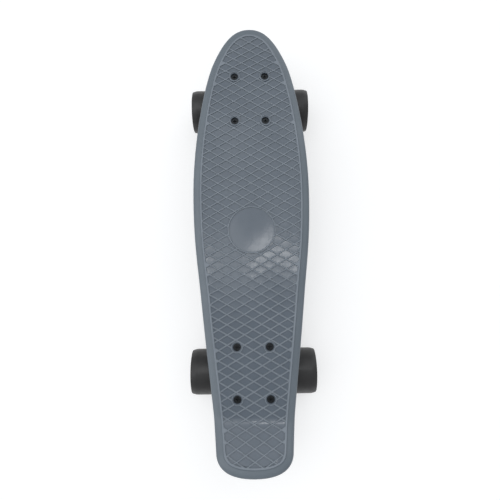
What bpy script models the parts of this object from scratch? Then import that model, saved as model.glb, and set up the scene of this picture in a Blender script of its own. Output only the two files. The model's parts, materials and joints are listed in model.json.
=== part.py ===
"""Cruiser skateboard: a moulded plastic deck on two cast trucks with four soft wheels.

Metres, +Z up, +Y towards the nose, +X to the right of a rider who faces the nose.
The origin is on the ground, under the centre of the board's length and width.
"""

import math

import bmesh
import bpy
from mathutils import Matrix, Vector
from mathutils.geometry import interpolate_bezier

MM = 0.001
GAP = 0.3 * MM  # left between two pieces that touch

# Truck places and bolt pattern.
TRUCK_SPACING = 362.3 * MM
BOLT_SPACING_LONG = 63.5 * MM
BOLT_SPACING_WIDE = 41.28 * MM

# Deck, seen from above. Places along it run from the point midway between the trucks.
NOSE_OVERHANG = 100.35 * MM  # past the middle of the truck's bolt pattern
TAIL_OVERHANG = 115.75 * MM
SHOULDER_HALF_WIDTH = 50.7 * MM
SHOULDER_SETBACK = 49.3 * MM  # from the nose tip
SHOULDER_HEADING = math.radians(22.7)
WIDEST_HALF_WIDTH = 76.5 * MM
WIDEST_AHEAD = 54.0 * MM
WAIST_HALF_WIDTH = 66.7 * MM
WAIST_BEHIND = 83.5 * MM
WAIST_HEADING = math.radians(5.7)
TAIL_HALF_WIDTH = 46.5 * MM
TAIL_CORNER_SETBACK = 26.0 * MM  # from the tail tip
TAIL_HEADING = math.radians(4.9)

# Deck, through its thickness. Heights are measured down from the crest of the ribs on top.
DECK_DEPTH = 10.5 * MM
SKIN = 5.0 * MM
LIP_WALL = 2.2 * MM
EDGE_RADIUS = 0.9 * MM
SHOULDER_DROP = 4.0 * MM
BAND_DROP = 1.6 * MM
BORDER_INSET = 9.2 * MM
BORDER_WIDTH = 1.6 * MM
UNDER_RIB = 2.0 * MM
UNDER_RIB_DRAFT = 0.5 * MM
PAD_MARGIN = 1.05 * MM  # of a truck pad round its baseplate
ROWS_BETWEEN_TRUCKS = 7
ROWS_IN_PAD = 2
ROW_PAST_PAD = 27.0 * MM
SMALLEST_POCKET = 9.0 * MM

# Deck, the lattice of diamonds on top. Its lines cross on the middle line, at these places.
DIAMOND_WIDTH = 21.5 * MM
DIAMOND_LENGTH = 12.5 * MM
DIAMOND_CROSSING = 9.1 * MM
TAIL_DIAMOND_LENGTH = 14.3 * MM  # past the kick's curl
DIAMOND_DEPTH = 1.2 * MM
SMALLEST_DIAMOND = 4.0 * MM
SHORTEST_SIDE = 1.6 * MM  # where a line meets the border, a shorter side is closed up

# Deck, bends. Both start past the middle of a truck's bolt pattern.
KICK_PAST_TRUCK = 48.85 * MM
KICK_RADIUS = 40.0 * MM
KICK_ANGLE = math.radians(21)
NOSE_RISE_PAST_TRUCK = 43.85 * MM
NOSE_RADIUS = 360.0 * MM
NOSE_ANGLE = math.radians(9)
CONCAVE_RISE = 3.0 * MM

# Deck, medallion and bolt recesses.
MEDALLION_RADIUS = 31.1 * MM
MEDALLION_RING = 1.3 * MM
MEDALLION_RECESS = 1.1 * MM
BOSS_HEIGHT = 0.3 * MM  # above the ribs
BOSS_WALL = 1.2 * MM
RECESS_CLEARANCE = 1.0 * MM  # round a bolt's head
BOLT_HEAD_DEPTH = 3.0 * MM

# Deck bolts and nuts.
BOLT_RADIUS = 2.38 * MM
BOLT_LENGTH = 25.4 * MM
BOLT_HEAD_RADIUS = 4.8 * MM
BOLT_HEAD_HEIGHT = 2.4 * MM
BOLT_NUT_RADIUS = 5.4 * MM
BOLT_NUT_HEIGHT = 4.8 * MM

# Truck. Its frame has its origin on the deck's pad, +Y outboard and +Z up.
BASE_END_MARGIN = 9.2 * MM  # from a bolt's centre to the plate's end
BASE_SIDE_MARGIN = 7.31 * MM
BASE_THICKNESS = 6.0 * MM
BASE_CORNER = 8.0 * MM
AXLE_DROP = 39.6 * MM
AXLE_OUTBOARD = 3.9 * MM
RING_DROP = 30.0 * MM
RING_INBOARD = 14.5 * MM
PIVOT_DROP = 13.0 * MM
PIVOT_OUTBOARD = 24.0 * MM
KINGPIN_LEAN = math.radians(20)
KINGPIN_RADIUS = 4.76 * MM
KINGPIN_HEAD_RADIUS = 7.6 * MM
KINGPIN_HEAD_HEIGHT = 4.5 * MM
KINGPIN_SEAT_WALL = 5.0 * MM
KINGPIN_BOSS_MARGIN = 2.0 * MM  # of the baseplate's boss round the barrel bushing
KINGPIN_BOSS_FLARE = 3.0 * MM
KINGPIN_BOSS_HEIGHT = 12.0 * MM
KINGPIN_NUT_RADIUS = 8.2 * MM
KINGPIN_NUT_HEIGHT = 7.0 * MM
KINGPIN_TAIL = 2.5 * MM
RING_RADIUS = 14.5 * MM
RING_THICKNESS = 9.0 * MM
RING_CLEARANCE = 3.84 * MM  # round the kingpin, for the hanger to lean
RING_CHAMFER = 0.8 * MM
BARREL_RADIUS = 12.0 * MM
BARREL_HEIGHT = 12.0 * MM
BARREL_BULGE = 1.0 * MM
CONE_TOP_RADIUS = 11.0 * MM
CONE_END_RADIUS = 9.0 * MM
CONE_HEIGHT = 10.0 * MM
WASHER_THICKNESS = 1.5 * MM
CONE_WASHER_MARGIN = 1.0 * MM
PIVOT_TIP_RADIUS = 5.4 * MM
PIVOT_TIP_LENGTH = 4.0 * MM
PIVOT_NECK = 0.6 * MM  # how much slimmer the arm is behind its tip
PIVOT_CLEARANCE = 0.6 * MM
PIVOT_CUP_WALL = 2.2 * MM
PIVOT_CUP_LIP = 1.0 * MM
PIVOT_BOSS_WALL = 3.2 * MM
HOUSING_RADIUS = 8.0 * MM
HOUSING_WAIST = 6.6 * MM
HOUSING_END = 7.6 * MM
HOUSING_COLLAR = 4.0 * MM
HOUSING_SHOULDER = 2.0 * MM  # how far the thick middle runs past the ring
ARM_FLARE = 1.0 * MM
WEB_MARGIN = 2.0 * MM
WEB_FLARE = 6.0 * MM

# Wheels, bearings and axle.
WHEEL_RADIUS = 30.0 * MM
WHEEL_WIDTH = 46.0 * MM
WHEEL_OUTER_HALF = 82.1 * MM  # from the board's middle to the wheel's outer face
CONTACT_WIDTH = 37.0 * MM
SHOULDER_DEPTH = 4.0 * MM  # how far the tread is rounded down to the wheel's side
SHOULDER_CREST = 1.0 * MM
SHOULDER_CREST_WIDTH = 1.5 * MM
BEARING_SUNK = 1.0 * MM  # below the wheel's core
CORE_WALL = 3.7 * MM  # round a bearing's seat
BEARING_RADIUS = 11.0 * MM
BEARING_WIDTH = 7.0 * MM
SPACER_LENGTH = 10.0 * MM
SPACER_RADIUS = 6.0 * MM
LAND_CLEARANCE = 3.0 * MM  # between the spacer and the wheel's bore
AXLE_RADIUS = 3.97 * MM
SPEED_WASHER_RADIUS = 6.9 * MM
SPEED_WASHER_THICKNESS = 1.0 * MM
AXLE_NUT_RADIUS = 7.3 * MM
AXLE_NUT_HEIGHT = 6.0 * MM
AXLE_TAIL = 1.2 * MM

# Facets of the round pieces.
WHEEL_STEPS = 24
RING_STEPS = 14
BEARING_STEPS = 12
BUSHING_STEPS = 12
PIN_STEPS = 10
BOLT_STEPS = 8
HEX = 6
OUTLINE_STEPS = 6  # points along each stretch of the deck's edge
BEND_CUTS = 3
FLATNESS = 0.001 * MM  # a face that bends by more is split into triangles

HALF_SPACING = TRUCK_SPACING / 2
NOSE_REACH = HALF_SPACING + NOSE_OVERHANG
TAIL_REACH = HALF_SPACING + TAIL_OVERHANG
KICK_START = HALF_SPACING + KICK_PAST_TRUCK
NOSE_RISE_START = HALF_SPACING + NOSE_RISE_PAST_TRUCK
BASE_HALF_WIDTH = BOLT_SPACING_WIDE / 2 + BASE_SIDE_MARGIN
BASE_HALF_LENGTH = BOLT_SPACING_LONG / 2 + BASE_END_MARGIN
UNDER_RIB_LINE = BASE_HALF_WIDTH + PAD_MARGIN  # the long ribs, which are the truck pads' sides too
PAD_HALF_LENGTH = BASE_HALF_LENGTH + PAD_MARGIN
RECESS_RADIUS = BOLT_HEAD_RADIUS + RECESS_CLEARANCE
BOSS_RADIUS = RECESS_RADIUS + BOSS_WALL
RING_BORE = KINGPIN_RADIUS + RING_CLEARANCE
PIVOT_CUP_BORE = PIVOT_TIP_RADIUS + PIVOT_CLEARANCE
BEARING_BORE = AXLE_RADIUS + GAP
CORE_RADIUS = BEARING_RADIUS + GAP + CORE_WALL
LAND_BORE = SPACER_RADIUS + LAND_CLEARANCE
ABOVE = 20.0 * MM  # how far a cutter runs past the face it opens
EDGE_DROP = DECK_DEPTH - EDGE_RADIUS  # where the deck's outer wall ends, furthest out once it is bent
NOSE_END = NOSE_REACH + EDGE_DROP * (NOSE_REACH - NOSE_RISE_START) / NOSE_RADIUS
TAIL_END = TAIL_REACH + EDGE_DROP * math.sin(KICK_ANGLE)
MID_Y = (TAIL_END - NOSE_END) / 2
PAD_HEIGHT = WHEEL_RADIUS + AXLE_DROP
CREST_HEIGHT = PAD_HEIGHT + DECK_DEPTH
WHEEL_MIDDLE = WHEEL_OUTER_HALF - WHEEL_WIDTH / 2
BEARING_OUTER = SPACER_LENGTH / 2 + BEARING_WIDTH  # from the wheel's middle to a bearing's outer face
SLATE_PLASTIC = ("slate_plastic", (0.135, 0.165, 0.19), 0.35, 0.0)
CHARCOAL_URETHANE = ("charcoal_urethane", (0.04, 0.039, 0.037), 0.45, 0.0)
CAST_ALUMINIUM = ("cast_aluminium", (0.55, 0.55, 0.56), 0.4, 1.0)
BLACK_STEEL = ("black_steel", (0.012, 0.013, 0.015), 0.35, 0.6)
BRIGHT_STEEL = ("bright_steel", (0.6, 0.6, 0.6), 0.25, 1.0)
GREY_URETHANE = ("grey_urethane", (0.2, 0.2, 0.2), 0.5, 0.0)

for old in list(bpy.data.objects):
    bpy.data.objects.remove(old, do_unlink=True)
board = bpy.data.collections.new("cruiser_skateboard")
helpers = bpy.data.collections.new("cutters")
for collection in (board, helpers):
    bpy.context.scene.collection.children.link(collection)


def material(finish):
    name, colour, roughness, metallic = finish
    found = bpy.data.materials.get(name)
    if found:
        return found
    made = bpy.data.materials.new(name)
    made.use_nodes = True
    shader = made.node_tree.nodes["Principled BSDF"]
    shader.inputs["Base Color"].default_value = (*colour, 1.0)
    shader.inputs["Roughness"].default_value = roughness
    shader.inputs["Metallic"].default_value = metallic
    made.diffuse_color = (*colour, 1.0)
    return made


def add_object(name, mesh, parent, place, finish=None):
    """Adds a piece of the board, or a hidden helper when it has no finish."""
    obj = bpy.data.objects.new(name, mesh)
    obj.parent = parent
    obj.matrix_local = place
    if finish:
        mesh.materials.append(material(finish))
        board.objects.link(obj)
    else:
        obj.hide_render = True
        obj.display_type = "WIRE"
        helpers.objects.link(obj)
    return obj


def empty(name, parent, place):
    made = bpy.data.objects.new(name, None)
    made.empty_display_size = 0.02
    made.parent = parent
    made.matrix_local = place
    board.objects.link(made)
    return made


def turned(name, profile, steps, parent, place, finish=None):
    """Spins a profile of (radius, height) points about local Z. It runs top to bottom on its outer side.

    A profile that starts and ends on the axis makes a solid, and any other one closes on itself as a ring.
    """
    mesh = bpy.data.meshes.new(name)
    points = [(radius, 0.0, height) for radius, height in profile]
    edges = [(i, i + 1) for i in range(len(points) - 1)]
    if profile[0][0] > 0:
        edges.append((len(points) - 1, 0))
    mesh.from_pydata(points, edges, [])
    obj = add_object(name, mesh, parent, place, finish)
    screw = obj.modifiers.new("turn", "SCREW")
    screw.axis = "Z"
    screw.steps = steps
    screw.render_steps = steps
    screw.use_merge_vertices = True
    screw.merge_threshold = 0.00001
    screw.use_smooth_shade = steps > HEX
    return obj


def pin(name, radius, top, bottom, steps, parent, place, finish=None):
    return turned(name, [(0, top), (radius, top), (radius, bottom), (0, bottom)], steps, parent, place, finish)


def tube(name, outer, inner, top, bottom, steps, parent, place, finish=None):
    profile = [(outer, top), (outer, bottom), (inner, bottom), (inner, top)]
    return turned(name, profile, steps, parent, place, finish)


def combine(target, other, operation):
    step = target.modifiers.new(f"{operation.lower()}_{other.name}", "BOOLEAN")
    step.operation = operation
    step.object = other


def combine_all(target, others, operation):
    """Combines a piece with several helpers in one step, so that no cut is worked over by a later one."""
    group = bpy.data.collections.new(f"{target.name}_{operation.lower()}")
    helpers.children.link(group)
    for other in others:
        helpers.objects.unlink(other)
        group.objects.link(other)
    step = target.modifiers.new(group.name, "BOOLEAN")
    step.operation = operation
    step.operand_type = "COLLECTION"
    step.collection = group


def block(name, near, near_half, far, far_half, parent):
    """A tapered block between two rectangles square to the line from near to far. Halves are (x, across)."""
    along = (far - near).normalized()
    across = along.cross(Vector((1, 0, 0)))
    bm = bmesh.new()
    bmesh.ops.create_cube(bm, size=2.0)
    for vert in bm.verts:
        centre, half = (near, near_half) if vert.co.z < 0 else (far, far_half)
        vert.co = centre + Vector((vert.co.x * half[0], 0, 0)) + across * vert.co.y * half[1]
    bmesh.ops.recalc_face_normals(bm, faces=bm.faces)
    mesh = bpy.data.meshes.new(name)
    bm.to_mesh(mesh)
    bm.free()
    return add_object(name, mesh, parent, Matrix.Identity(4))


# The deck is shaped flat and then bent. A flat point's x and y lie on the deck's upper surface.


def unbent(distance, start, radius, angle):
    """How far along the bent surface a point lies whose distance is measured level."""
    past = distance - start
    if past <= 0:
        return distance
    if past < radius * math.sin(angle):
        return start + radius * math.asin(past / radius)
    return start + radius * angle + (past - radius * math.sin(angle)) / math.cos(angle)


def bent(distance, height, start, radius, angle):
    """Where a flat point goes when the surface past start curves up to the angle and then runs straight."""
    past = distance - start
    if past <= 0:
        return distance, height
    turn = min(past / radius, angle)
    straight = past - radius * turn
    level = start + (radius - height) * math.sin(turn) + straight * math.cos(turn)
    return level, radius - (radius - height) * math.cos(turn) + straight * math.sin(turn)


def flat_y(level):
    if level < 0:
        return -unbent(-level, KICK_START, KICK_RADIUS, KICK_ANGLE)
    return unbent(level, NOSE_RISE_START, NOSE_RADIUS, NOSE_ANGLE)


def deck_edge():
    """Points round the deck's edge, anticlockwise from the nose tip, as a flat pattern."""
    handles_mm = ((16.5, 44.9), (26.3, 73.2), (65.4, 41.9), (91.9, 53.0), (12.5, 36.7))
    stations = (
        (0.0, NOSE_REACH, math.pi / 2),
        (SHOULDER_HALF_WIDTH, NOSE_REACH - SHOULDER_SETBACK, SHOULDER_HEADING),
        (WIDEST_HALF_WIDTH, WIDEST_AHEAD, 0.0),
        (WAIST_HALF_WIDTH, -WAIST_BEHIND, -WAIST_HEADING),
        (TAIL_HALF_WIDTH, TAIL_CORNER_SETBACK - TAIL_REACH, -TAIL_HEADING),
        (0.0, -TAIL_REACH, -math.pi / 2),
    )
    right = []
    for (x1, y1, out1), (x2, y2, out2), (near, far) in zip(stations, stations[1:], handles_mm):
        first = Vector((x1, y1))
        last = Vector((x2, y2))
        leaving = first + Vector((math.sin(out1), -math.cos(out1))) * near * MM
        arriving = last - Vector((math.sin(out2), -math.cos(out2))) * far * MM
        right += interpolate_bezier(first, leaving, arriving, last, OUTLINE_STEPS + 1)[:-1]
    right.append(Vector((0.0, -TAIL_REACH)))
    for point in right:
        point.y = flat_y(point.y)
    left = [Vector((-point.x, point.y)) for point in right[1:-1]]
    return right[:1] + left + right[:0:-1]


def inset(points, amount):
    """The closed outline moved inwards by the amount."""
    moved = []
    for before, here, after in zip(points[-1:] + points[:-1], points, points[1:] + points[:1]):
        into = Vector((before.y - here.y, here.x - before.x)).normalized()
        out_of = Vector((here.y - after.y, after.x - here.x)).normalized()
        normal = (into + out_of).normalized()
        moved.append(here + normal * amount / normal.dot(into))
    return moved


def score(bm, zone, value, point, direction):
    """Draws the line where a plane crosses the faces of one zone."""
    faces = [face for face in bm.faces if face[zone] == value]
    edges = {edge for face in faces for edge in face.edges}
    verts = {vert for face in faces for vert in face.verts}
    geometry = [*verts, *edges, *faces]
    bmesh.ops.bisect_plane(bm, geom=geometry, dist=MM / 1000, plane_co=point, plane_no=direction)


def close_short_sides(bm, zone, values):
    """Closes up the short sides that lines leave where they meet the border of a field."""
    verts = {vert for face in bm.faces if face[zone] in values for vert in face.verts}
    short = [edge for edge in bm.edges if edge.calc_length() < SHORTEST_SIDE and set(edge.verts) <= verts]
    bmesh.ops.collapse(bm, edges=short)


def narrow(face, width):
    return 4 * face.calc_area() < width * face.calc_perimeter()


EDGE = 0
BODY_FIELD = 1
TAIL_FIELD = 2
UNDERSIDE = 3


def under_rib_rows():
    inner = HALF_SPACING - PAD_HALF_LENGTH
    outer = HALF_SPACING + PAD_HALF_LENGTH
    rows = [inner * (2 * i / ROWS_BETWEEN_TRUCKS - 1) for i in range(1, ROWS_BETWEEN_TRUCKS)]
    for i in range(ROWS_IN_PAD + 1):
        place = inner + 2 * PAD_HALF_LENGTH * i / ROWS_IN_PAD
        rows += [place, -place]
    return rows + [outer + ROW_PAST_PAD, -outer - ROW_PAST_PAD]


def on_pad(face):
    centre = face.calc_center_median()
    along = abs(abs(centre.y) - HALF_SPACING)
    return abs(centre.x) < UNDER_RIB_LINE and along < PAD_HALF_LENGTH


def hollow_underside(bm, zone):
    """Sinks a drafted pocket between the stiffening ribs, and leaves the truck pads solid."""
    for y in under_rib_rows():
        score(bm, zone, UNDERSIDE, (0, y, 0), (0, 1, 0))
    for x in (UNDER_RIB_LINE, -UNDER_RIB_LINE):
        score(bm, zone, UNDERSIDE, (x, 0, 0), (1, 0, 0))
    close_short_sides(bm, zone, (UNDERSIDE,))
    cells = [face for face in bm.faces if face[zone] == UNDERSIDE]
    cells = [face for face in cells if not on_pad(face) and not narrow(face, SMALLEST_POCKET)]
    bmesh.ops.inset_individual(bm, faces=cells, thickness=UNDER_RIB / 2, use_even_offset=True)
    depth = DECK_DEPTH - SKIN
    bmesh.ops.inset_individual(bm, faces=cells, thickness=UNDER_RIB_DRAFT, depth=-depth, use_even_offset=True)


def in_field(item, zone):
    return all(face[zone] in (BODY_FIELD, TAIL_FIELD) for face in item.link_faces)


def sink_diamonds(bm, zone):
    """Draws both families of slanting lines over the top and dishes each diamond between them."""
    curl_end = KICK_START + KICK_RADIUS * KICK_ANGLE
    tail_row = DIAMOND_CROSSING - DIAMOND_LENGTH * math.ceil((curl_end + DIAMOND_CROSSING) / DIAMOND_LENGTH)
    score(bm, zone, BODY_FIELD, (0, tail_row, 0), (0, 1, 0))
    for face in bm.faces:
        if face[zone] == BODY_FIELD and face.calc_center_median().y < tail_row:
            face[zone] = TAIL_FIELD
    for field, length in ((BODY_FIELD, DIAMOND_LENGTH), (TAIL_FIELD, TAIL_DIAMOND_LENGTH)):
        count = math.ceil(2 * TAIL_REACH / length)
        for i in range(-count, count + 1):
            point = (0, tail_row + i * length, 0)
            score(bm, zone, field, point, (length, DIAMOND_WIDTH, 0))
            score(bm, zone, field, point, (-length, DIAMOND_WIDTH, 0))
    row = [edge for edge in bm.edges if in_field(edge, zone)
           and all(abs(vert.co.y - tail_row) < MM / 100 for vert in edge.verts)]
    bmesh.ops.dissolve_edges(bm, edges=row)
    close_short_sides(bm, zone, (BODY_FIELD, TAIL_FIELD))
    cells = [face for face in bm.faces if face[zone] in (BODY_FIELD, TAIL_FIELD)]
    cells = [face for face in cells if not narrow(face, SMALLEST_DIAMOND)]
    bmesh.ops.poke(bm, faces=cells, offset=-DIAMOND_DEPTH)


def bend_deck(bm, zone):
    """Draws cross lines where the deck curves, then raises its long edges, its nose and its tail."""
    for i in range(BEND_CUTS + 1):
        kick = KICK_START + KICK_RADIUS * KICK_ANGLE * i / BEND_CUTS
        for field in (EDGE, UNDERSIDE):
            score(bm, zone, field, (0, -kick, 0), (0, 1, 0))
    for vert in bm.verts:
        x, y, z = vert.co
        out = max(0.0, abs(x) - UNDER_RIB_LINE) / (WIDEST_HALF_WIDTH - UNDER_RIB_LINE)
        z += CONCAVE_RISE * out * out
        if y < 0:
            level, z = bent(-y, z, KICK_START, KICK_RADIUS, KICK_ANGLE)
            level = -level
        else:
            level, z = bent(y, z, NOSE_RISE_START, NOSE_RADIUS, NOSE_ANGLE)
        vert.co = (x, level, z)
    bm.normal_update()
    warped = [face for face in bm.faces if any(abs((vert.co - face.verts[0].co).dot(face.normal)) > FLATNESS
                                               for vert in face.verts)]
    bmesh.ops.triangulate(bm, faces=warped)


def make_deck():
    edge = deck_edge()
    section = (
        (EDGE_RADIUS + LIP_WALL, -DECK_DEPTH),
        (EDGE_RADIUS, -DECK_DEPTH),
        (0.0, EDGE_RADIUS - DECK_DEPTH),
        (0.0, -SHOULDER_DROP - 2 * EDGE_RADIUS),
        (EDGE_RADIUS, -SHOULDER_DROP),
        (3 * EDGE_RADIUS, -SHOULDER_DROP / 2 - BAND_DROP / 2),
        (BORDER_INSET - EDGE_RADIUS, -BAND_DROP),
        (BORDER_INSET, 0.0),
        (BORDER_INSET + BORDER_WIDTH, 0.0),
    )
    bm = bmesh.new()
    zone = bm.faces.layers.int.new("zone")
    loops = []
    for amount, height in section:
        loops.append([bm.verts.new((point.x, point.y, height)) for point in inset(edge, amount)])
    for low, high in zip(loops, loops[1:]):
        for i in range(len(edge)):
            j = (i + 1) % len(edge)
            bm.faces.new((low[i], low[j], high[j], high[i]))
    bm.faces.new(loops[-1])[zone] = BODY_FIELD
    bm.faces.new(loops[0][::-1])[zone] = UNDERSIDE
    hollow_underside(bm, zone)
    sink_diamonds(bm, zone)
    bend_deck(bm, zone)
    mesh = bpy.data.meshes.new("deck")
    bm.to_mesh(mesh)
    bm.free()
    deck = add_object("deck", mesh, None, Matrix.Translation((0, MID_Y, CREST_HEIGHT)), SLATE_PLASTIC)
    mesh.shade_smooth()
    mesh.set_sharp_from_angle(angle=math.radians(30))
    return deck


def make_medallion(deck):
    """The helpers for the medallion: a raised disc, and the dish that is cut into it."""
    upright = Matrix.Identity(4)
    steps = 2 * RING_STEPS
    disc = pin("medallion_disc", MEDALLION_RADIUS, BOSS_HEIGHT, -SKIN / 2, steps, deck, upright)
    dish_radius = MEDALLION_RADIUS - MEDALLION_RING
    dish = pin("medallion_dish", dish_radius, ABOVE, BOSS_HEIGHT - MEDALLION_RECESS, steps, deck, upright)
    return disc, dish


def bolt_places():
    """The four bolts of a truck, in its own frame."""
    return [(x * BOLT_SPACING_WIDE / 2, y * BOLT_SPACING_LONG / 2) for y in (1, -1) for x in (-1, 1)]


def make_deck_bolts(end, truck, baseplate):
    """A truck's bolts and nuts. Returns the helpers for the deck: a raised boss and a seat for each bolt."""
    bosses = []
    seats = []
    head_top = DECK_DEPTH - BOLT_HEAD_DEPTH
    head_bottom = head_top - BOLT_HEAD_HEIGHT
    plate_bottom = -GAP - BASE_THICKNESS
    hole = BOLT_RADIUS + GAP
    for number, (x, y) in enumerate(bolt_places(), start=1):
        place = Matrix.Translation((x, y, 0))
        name = f"{end}_deck_bolt_{number}"
        boss = pin(f"{name}_boss", BOSS_RADIUS, DECK_DEPTH + BOSS_HEIGHT, DECK_DEPTH - SKIN / 2, PIN_STEPS, truck, place)
        bosses.append(boss)
        seat = [
            (0, DECK_DEPTH + ABOVE),
            (RECESS_RADIUS, DECK_DEPTH + ABOVE),
            (RECESS_RADIUS, head_top - GAP),
            (BOLT_HEAD_RADIUS + GAP, head_top - GAP),
            (hole, head_bottom - GAP),
            (hole, -ABOVE),
            (0, -ABOVE),
        ]
        seats.append(turned(f"{name}_seat", seat, PIN_STEPS, truck, place))
        combine(baseplate, pin(f"{name}_hole", hole, ABOVE, -ABOVE, BOLT_STEPS, truck, place), "DIFFERENCE")
        bolt = [
            (0, head_top),
            (BOLT_HEAD_RADIUS, head_top),
            (BOLT_RADIUS, head_bottom),
            (BOLT_RADIUS, head_top - BOLT_LENGTH),
            (0, head_top - BOLT_LENGTH),
        ]
        turned(name, bolt, BOLT_STEPS, truck, place, BLACK_STEEL)
        nut_top = plate_bottom - GAP
        nut_name = f"{end}_deck_nut_{number}"
        make_nut(nut_name, BOLT_NUT_RADIUS, hole, nut_top, BOLT_NUT_HEIGHT, BOLT_STEPS, truck, place, BLACK_STEEL)
    return bosses, seats


def make_nut(name, radius, bore, top, height, steps, parent, place, finish):
    """A lock nut: a hexagon with a round bore."""
    nut = pin(name, radius, top, top - height, HEX, parent, place, finish)
    cutter = pin(f"{name}_bore", bore, top + height, top - 2 * height, steps, parent, place)
    combine(nut, cutter, "DIFFERENCE")
    return nut


def rounded_plate(name, half, corner, top, bottom, parent, finish):
    """A flat plate with round corners, filled from its outline."""
    curve = bpy.data.curves.new(name, "CURVE")
    curve.dimensions = "2D"
    curve.fill_mode = "BOTH"
    curve.extrude = (top - bottom) / 2
    corner_steps = 3
    points = []
    for quarter, (x, y) in enumerate(((1, 1), (-1, 1), (-1, -1), (1, -1))):
        for i in range(corner_steps + 1):
            turn = math.pi / 2 * (quarter + i / corner_steps)
            points.append((x * (half[0] - corner) + corner * math.cos(turn),
                           y * (half[1] - corner) + corner * math.sin(turn)))
    spline = curve.splines.new("POLY")
    spline.points.add(len(points) - 1)
    for point, (x, y) in zip(spline.points, points):
        point.co = (x, y, 0, 1)
    spline.use_cyclic_u = True
    outline = bpy.data.objects.new(f"{name}_outline", curve)
    bpy.context.scene.collection.objects.link(outline)
    graph = bpy.context.evaluated_depsgraph_get()
    mesh = bpy.data.meshes.new_from_object(outline.evaluated_get(graph))
    bpy.data.objects.remove(outline)
    bm = bmesh.new()
    bm.from_mesh(mesh)
    bmesh.ops.remove_doubles(bm, verts=bm.verts, dist=MM / 100)
    bmesh.ops.translate(bm, verts=bm.verts, vec=(0, 0, (top + bottom) / 2))
    bm.to_mesh(mesh)
    bm.free()
    return add_object(name, mesh, parent, Matrix.Identity(4), finish)


RING_CENTRE = Vector((0, -RING_INBOARD, -RING_DROP))
PIVOT = Vector((0, PIVOT_OUTBOARD, -PIVOT_DROP))
AXLE = Vector((0, AXLE_OUTBOARD, -AXLE_DROP))
KINGPIN_FRAME = Matrix.Translation(RING_CENTRE) @ Matrix.Rotation(-KINGPIN_LEAN, 4, "X")
ARM_SLOPE = math.atan2(PIVOT.y - AXLE.y, PIVOT.z - AXLE.z)
PIVOT_FRAME = Matrix.Translation(PIVOT) @ Matrix.Rotation(-ARM_SLOPE, 4, "X")
AXLE_FRAME = Matrix.Translation(AXLE) @ Matrix.Rotation(math.pi / 2, 4, "Y")
BARREL_TOP = RING_THICKNESS / 2 + GAP + BARREL_HEIGHT
KINGPIN_SEAT = BARREL_TOP + GAP + WASHER_THICKNESS + GAP
CONE_END = RING_THICKNESS / 2 + GAP + CONE_HEIGHT
KINGPIN_NUT_TOP = CONE_END + GAP + WASHER_THICKNESS + GAP
PIVOT_CUP_RADIUS = PIVOT_CUP_BORE + PIVOT_CUP_WALL
PIVOT_CUP_FLOOR = PIVOT_CUP_BORE + PIVOT_CUP_WALL
HANGER_HALF = WHEEL_MIDDLE - BEARING_OUTER - SPEED_WASHER_THICKNESS - 2 * GAP


def make_baseplate(end, truck):
    name = f"{end}_baseplate"
    half = (BASE_HALF_WIDTH, BASE_HALF_LENGTH)
    plate = rounded_plate(name, half, BASE_CORNER, -GAP, -GAP - BASE_THICKNESS, truck, CAST_ALUMINIUM)
    face = BARREL_RADIUS + KINGPIN_BOSS_MARGIN
    root = KINGPIN_SEAT + KINGPIN_BOSS_HEIGHT
    seat = [(0, root), (face + KINGPIN_BOSS_FLARE, root), (face, KINGPIN_SEAT), (0, KINGPIN_SEAT)]
    combine(plate, turned(f"{name}_kingpin_boss", seat, RING_STEPS, truck, KINGPIN_FRAME), "UNION")
    boss_radius = PIVOT_CUP_RADIUS + PIVOT_BOSS_WALL
    boss = pin(f"{name}_pivot_boss", boss_radius, 2 * boss_radius, 0, RING_STEPS, truck, PIVOT_FRAME)
    combine(plate, boss, "UNION")
    wide = (2 * BASE_HALF_LENGTH, 2 * BASE_HALF_LENGTH)
    deck_side = block(f"{name}_deck_side", Vector((0, 0, -GAP)), wide, Vector((0, 0, 2 * ABOVE)), wide, truck)
    combine(plate, deck_side, "DIFFERENCE")
    shank = pin(f"{name}_kingpin_hole", KINGPIN_RADIUS + GAP, 3 * ABOVE, 0, PIN_STEPS, truck, KINGPIN_FRAME)
    combine(plate, shank, "DIFFERENCE")
    head_seat = KINGPIN_SEAT + KINGPIN_SEAT_WALL
    head = pin(f"{name}_kingpin_head_seat", KINGPIN_HEAD_RADIUS + GAP, 3 * ABOVE, head_seat, HEX, truck, KINGPIN_FRAME)
    combine(plate, head, "DIFFERENCE")
    socket_radius = PIVOT_CUP_RADIUS + GAP
    socket = pin(f"{name}_pivot_socket", socket_radius, PIVOT_CUP_FLOOR + GAP, -ABOVE, RING_STEPS, truck, PIVOT_FRAME)
    combine(plate, socket, "DIFFERENCE")
    return plate


def make_pivot_cup(end, truck):
    bore = [(PIVOT_CUP_BORE * math.cos(math.radians(a)), PIVOT_CUP_BORE * math.sin(math.radians(a)))
            for a in (0, 30, 60)]
    profile = [
        (0, PIVOT_CUP_FLOOR),
        (PIVOT_CUP_RADIUS - PIVOT_CUP_LIP, PIVOT_CUP_FLOOR),
        (PIVOT_CUP_RADIUS, PIVOT_CUP_FLOOR - PIVOT_CUP_LIP),
        (PIVOT_CUP_RADIUS, -PIVOT_CUP_LIP),
        (PIVOT_CUP_BORE, -PIVOT_CUP_LIP),
        *bore,
        (0, PIVOT_CUP_BORE),
    ]
    turned(f"{end}_pivot_cup", profile, BUSHING_STEPS, truck, PIVOT_FRAME, GREY_URETHANE)


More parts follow.
